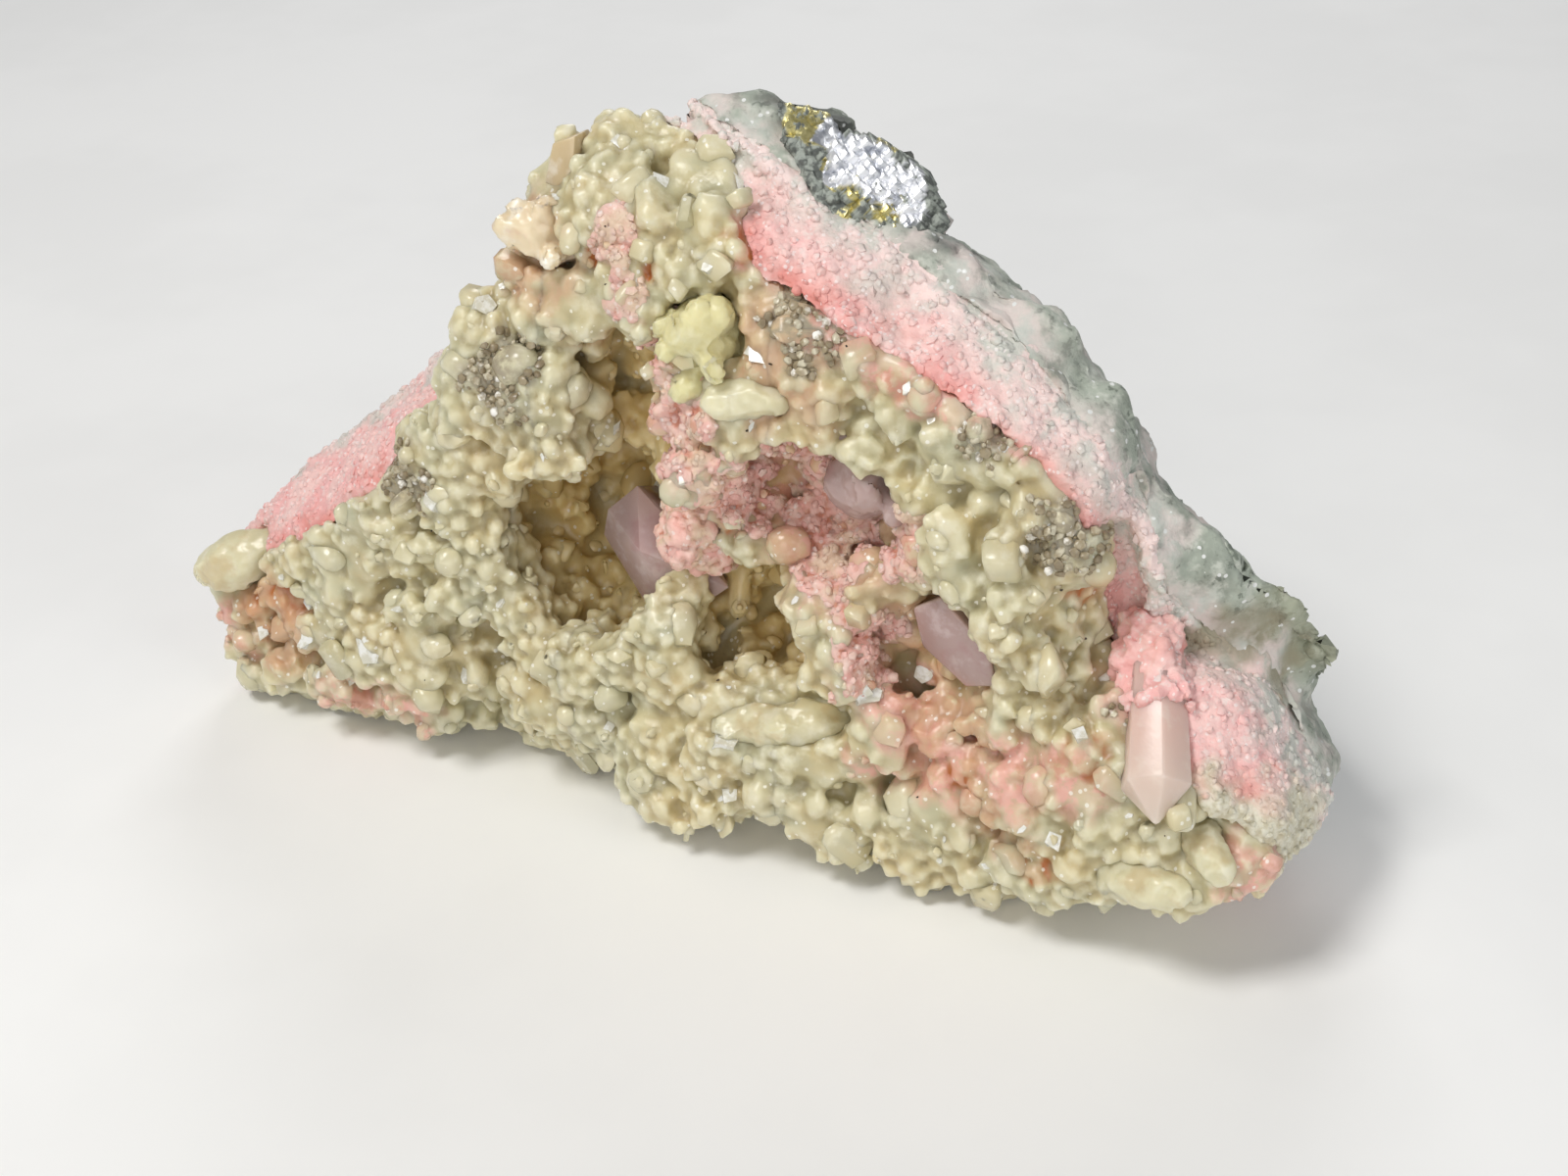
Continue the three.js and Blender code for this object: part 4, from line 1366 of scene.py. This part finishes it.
# %% Rock
ROCK_MID, ROCK_GREY = (0.40, 0.44, 0.37), (0.27, 0.30, 0.25)
ROCK_DARK, ROCK_PALE = (0.10, 0.12, 0.095), (0.60, 0.62, 0.55)
# The second colour here is for pale grains that are painted bright as glints.
BY_THE_ORE, PALE_GRAIN_PAINTED_GLINT = (0.06, 0.062, 0.06), (0.75, 0.76, 0.74)
BY_THE_BAND = ((0.55, 0.57, 0.52), (0.68, 0.60, 0.56))
LOBE_GREY, GULLY_PAINTED_SHADE = (0.34, 0.35, 0.24), (0.30, 0.27, 0.18)

rock, tree, shader = finish_named("wall_rock", 0.62)
pale = mix(tree, mottle(tree, 2.4, 0.35, 0.6), *BY_THE_BAND)
colour = layered(tree, ROCK_MID, [
    (mottle(tree, 4, 0.4, 0.62), ROCK_GREY),
    (mottle(tree, 1.4, 0.48, 0.64, 0.7), ROCK_PALE),
    (mottle(tree, 0.9, 0.55, 0.66, 0.7), ROCK_DARK),
    (mottle(tree, 2.4, 0.58, 0.68, 0.6), ROCK_DARK),
    (stored(tree, "lobe", 0.6), LOBE_GREY),
    # Painted shadow: the gully at the right end is painted grey-brown on the rock.
    (stored(tree, "earth", 0.85), GULLY_PAINTED_SHADE),
    (stored(tree, "ore_dark", 0.85), BY_THE_ORE),
    (stored(tree, "contact", mottle(tree, 2.8, 0.3, 0.55)), pale),
    # Pale flecks: pale grains painted bright as glints; below, the same flecks are also less rough.
    (flecks(tree, 0.4, 0.04), PALE_GRAIN_PAINTED_GLINT),
])
cover(tree, shader, colour, 0.6, 0.55)
feed(tree, shader.inputs["Roughness"], maths(tree, "SUBTRACT", 0.7, flecks(tree, 0.4, 0.04, 0.45)))

# %% Pink rhodochrosite
PINK, SOFT_PINK = (0.90, 0.50, 0.48), (0.90, 0.60, 0.56)
ROSE, PALE_PINK = (0.76, 0.28, 0.24), (0.88, 0.70, 0.66)
STONE_WHITE, SUGAR_PALE, SUGAR_TAN = (0.62, 0.62, 0.56), (0.74, 0.71, 0.58), (0.60, 0.55, 0.40)

pink, tree, shader = finish_named("pink_rhodochrosite", 0.5, inside=0.2, inside_mm=0.8)
pale_share = maths(tree, "ADD", stored(tree, "near_rock"), stored(tree, "paled", 0.85))
colour = layered(tree, PINK, [
    (mottle(tree, 3.5), SOFT_PINK),
    (mottle(tree, 0.7, 0.5, 0.7), PALE_PINK),
    (stored(tree, "near_druse", mottle(tree, 4, 0.35, 0.6)), ROSE),
    (pale_share, mix(tree, mottle(tree, 2.2), PALE_PINK, STONE_WHITE)),
    # Painted glints: pale flecks stand for sparkles of light on the sugary grains.
    (flecks(tree, 0.3, 0.1, 0.6), (0.92, 0.84, 0.82)),
    (stored(tree, "sugar"), mix(tree, mottle(tree, 0.6), SUGAR_PALE, SUGAR_TAN)),
    (stored(tree, "lobe", 0.7), LOBE_GREY),
    # Painted shadow: the gully at the right end is painted grey-brown on the band.
    (stored(tree, "earth", 0.9), GULLY_PAINTED_SHADE),
])
cover(tree, shader, colour, 0.45, 0.55)

# %% The druse
CREAM, GREEN_GREY, HONEY = (0.61, 0.53, 0.30), (0.49, 0.48, 0.33), (0.60, 0.47, 0.24)
PALE_TIP, CHALKY, DUSTY = (0.78, 0.74, 0.55), (0.80, 0.78, 0.66), (0.36, 0.31, 0.22)
# The middle colour here is a warm painted light, which lifts the shade deep in the cavity.
CREASE_STAIN_AND_SHADE, CAVE_PAINTED_LIGHT, RUSTED = (0.27, 0.19, 0.06), (0.72, 0.52, 0.20), (0.48, 0.16, 0.04)
PEACHY, BLUSHED, CORAL = (0.60, 0.40, 0.25), (0.78, 0.46, 0.38), (0.62, 0.33, 0.24)


def druse_colour(tree):
    """Cream and grey-green, paler at the tips, darker in the creases by dirt and painted shade, with the
    patches over that, a warm painted light deep in the cavity, and painted glints.
    """
    tone = maths(tree, "ADD", stored(tree, "tone", 0.6), mottle(tree, 6, share=0.4))
    peach_share = maths(tree, "ADD", 0.3, mottle(tree, 3))
    blush_share = maths(tree, "ADD", 0.35, mottle(tree, 1.8, 0.42, 0.6))
    rust_share = maths(tree, "ADD", 0.38, stored(tree, "crease"))
    return layered(tree, GREEN_GREY, [
        (tone, CREAM),
        (mottle(tree, 9, 0.45, 0.65, 0.6), HONEY),
        (stored(tree, "tip", 0.5), PALE_TIP),
        (mottle(tree, 1.5, 0.5, 0.7, 0.35), CHALKY),
        # Darker brown in the hollows: partly dirt, partly painted shade.
        (stored(tree, "crease", 0.35), CREASE_STAIN_AND_SHADE),
        # Painted light: deep in the cavity the colour is warmer and paler, to lift the shade that falls there.
        (stored(tree, "deep", 0.75), CAVE_PAINTED_LIGHT),
        (stored(tree, "peach", peach_share), PEACHY),
        (stored(tree, "blush", blush_share), mix(tree, mottle(tree, 3, 0.46, 0.6), BLUSHED, CORAL)),
        (stored(tree, "rust", rust_share), RUSTED),
        (stored(tree, "bloom", mottle(tree, 1.2, 0.35, 0.6)), DUSTY),
        # Painted glints: tiny white flecks stand for the sparkle of light on the crystals.
        (flecks(tree, 0.35, 0.035, 0.6), (0.93, 0.92, 0.86)),
    ])


druse, tree, shader = finish_named("druse", 0.34, inside=0.75, inside_mm=2.0)
cover(tree, shader, druse_colour(tree), 0.7, 0.35)

crisp, tree, shader = finish_named("crisp_calcite", 0.25, inside=0.2, inside_mm=0.8)
cover(tree, shader, druse_colour(tree), 0.9, 0.2)

# %% Pink buds in the druse
buds, tree, shader = finish_named("pink_buds", 0.42, inside=0.3, inside_mm=1.2)
colour = layered(tree, (0.80, 0.42, 0.37), [
    (stored(tree, "tone"), (0.84, 0.60, 0.52)),
    # Darker rust-red in the hollows of the buds: partly stain, partly painted shade.
    (stored(tree, "crease", 0.8), (0.58, 0.22, 0.13)),
    (mottle(tree, 3, 0.46, 0.66), (0.74, 0.56, 0.42)),
    # Painted glints: pale flecks stand for small highlights on the sugary buds.
    (flecks(tree, 0.4, 0.1, 0.5), (0.92, 0.82, 0.78)),
])
cover(tree, shader, colour, 0.4, 0.7)

# %% Bloom, specks and bright faces
dust_grains, tree, shader = finish_named("bloom", 0.3)
cover(tree, shader, layered(tree, (0.62, 0.57, 0.43), [
    (maths(tree, "LESS_THAN", stored(tree, "tone"), 0.45), (0.24, 0.19, 0.12)),
    (maths(tree, "GREATER_THAN", stored(tree, "tone"), 0.85), (0.9, 0.88, 0.82)),
    (mottle(tree, 1), (0.34, 0.28, 0.18)),
]))

speck, tree, shader = finish_named("speck", 0.4)
cover(tree, shader, mix(tree, mottle(tree, 0.4), (0.015, 0.012, 0.01), (0.08, 0.05, 0.03)))

cleaved, tree, shader = finish_named("cleavage_face", 0.22, inside=0.1, coat=0.3)
cover(tree, shader, mix(tree, mottle(tree, 0.8), (0.82, 0.82, 0.78), (0.64, 0.62, 0.52)), 1.0, 0.5)


# %% Single crystals
def crystal_finish(name, near, far, rough, inside, inside_mm,
                   veil=(0.9, 0.88, 0.82), stain=None, skin_size=1.2, bump=0.25):
    """A waxy crystal: one colour at the root, another at the free end, and milky veils and stains."""
    material, tree, shader = finish_named(name, rough, inside=inside, inside_mm=inside_mm)
    layers = [(stored(tree, "rise"), far), (mottle(tree, 1.8, 0.5, 0.7, 0.45), veil)]
    if stain:
        layers.append((mottle(tree, 4, 0.52, 0.66, 0.6), stain))
    cover(tree, shader, layered(tree, near, layers), skin_size, bump)
    return material


CRYSTALS = {
    "calcite_cream": dict(
        near=(0.52, 0.46, 0.27), far=(0.70, 0.66, 0.46), veil=(0.78, 0.75, 0.62), stain=(0.56, 0.44, 0.24),
        rough=0.3, inside=0.7, inside_mm=2.4,
    ),
    "calcite_yellow": dict(
        near=(0.52, 0.45, 0.20), far=(0.72, 0.67, 0.38), veil=(0.78, 0.75, 0.54),
        rough=0.36, inside=0.7, inside_mm=2.2, skin_size=0.7, bump=0.5,
    ),
    "calcite_peach": dict(
        near=(0.60, 0.40, 0.26), far=(0.78, 0.66, 0.46), stain=(0.72, 0.50, 0.38),
        rough=0.28, inside=0.5, inside_mm=1.8,
    ),
    "lavender": dict(
        near=(0.34, 0.20, 0.18), far=(0.45, 0.33, 0.31), veil=(0.62, 0.52, 0.52), stain=(0.40, 0.23, 0.23),
        rough=0.22, inside=0.6, inside_mm=2.4,
    ),
    "milky_quartz": dict(
        near=(0.72, 0.42, 0.37), far=(0.68, 0.57, 0.49), veil=(0.76, 0.66, 0.58),
        rough=0.3, inside=0.7, inside_mm=2.6, bump=0.12,
    ),
    "tan_blade": dict(
        near=(0.48, 0.36, 0.20), far=(0.60, 0.48, 0.30), rough=0.3, inside=0.4, inside_mm=1.2,
    ),
}
LOOKS = {name: crystal_finish(name, **look) for name, look in CRYSTALS.items()}

# %% The ore's finishes
SILVERS, BRASSES = ((0.92, 0.93, 0.96), (0.55, 0.57, 0.62)), ((0.78, 0.70, 0.34), (0.46, 0.40, 0.16))
GANGUE_DARK, GANGUE_PALE = (0.10, 0.11, 0.10), (0.34, 0.37, 0.33)


def ore_finish(name):
    """Dark rock with silver galena and brassy chalcopyrite where the kept values say so."""
    material, tree, shader = finish_named(name, 0.5)
    silver = times(tree, ease_node(tree, stored(tree, "silver"), 0.25, 0.5), mottle(tree, 0.9, 0.3, 0.42))
    brassy = times(tree, ease_node(tree, stored(tree, "brassy"), 0.25, 0.5), mottle(tree, 0.8, 0.38, 0.48))
    metal = times(tree, maths(tree, "ADD", silver, brassy), 0.8)
    cover(tree, shader, layered(tree, GANGUE_DARK, [
        (mottle(tree, 0.7, 0.42, 0.6), GANGUE_PALE),
        (brassy, mix(tree, mottle(tree, 1.1), *BRASSES)),
        (silver, mix(tree, mottle(tree, 1.3, 0.5, 0.62), *SILVERS)),
    ]), 0.6, 0.4)
    feed(tree, shader.inputs["Metallic"], metal)
    feed(tree, shader.inputs["Roughness"], maths(tree, "SUBTRACT", 0.62, times(tree, metal, 0.36)))
    return material


silver_ore, brass_ore = ore_finish("galena_ore"), ore_finish("chalcopyrite_ore")

# %% The floor's finish
cloth, tree, shader = finish_named("pale_floor", 0.7)
cover(tree, shader, mix(tree, mottle(tree, 60), (0.87, 0.87, 0.86), (0.90, 0.90, 0.89)))

# %% Dressing every piece
DRESSED = [
    (rock, [wall]), (pink, [band, pink_grains, core, quartz_sugar]),
    (druse, crusts), (crisp, crisp_pieces), (buds, [pink_buds, bud_grains, ball, ball_grains]),
    (dust_grains, [bloom]), (speck, [specks]), (cleaved, [bright]),
    (LOOKS["calcite_cream"], [left_end, ceiling, lip, foot_left, foot_right]),
    (LOOKS["calcite_yellow"], [yellow]), (LOOKS["calcite_peach"], [knob]), (LOOKS["tan_blade"], [blade]),
    (LOOKS["lavender"], [upper, block, slab]), (LOOKS["milky_quartz"], [quartz]),
    (silver_ore, galena), (brass_ore, chalcopyrite), (cloth, [floor]),
]
for material, pieces in DRESSED:
    for piece in pieces:
        piece.data.materials.clear()
        piece.data.materials.append(material)
print("finishes:", len(bpy.data.materials))
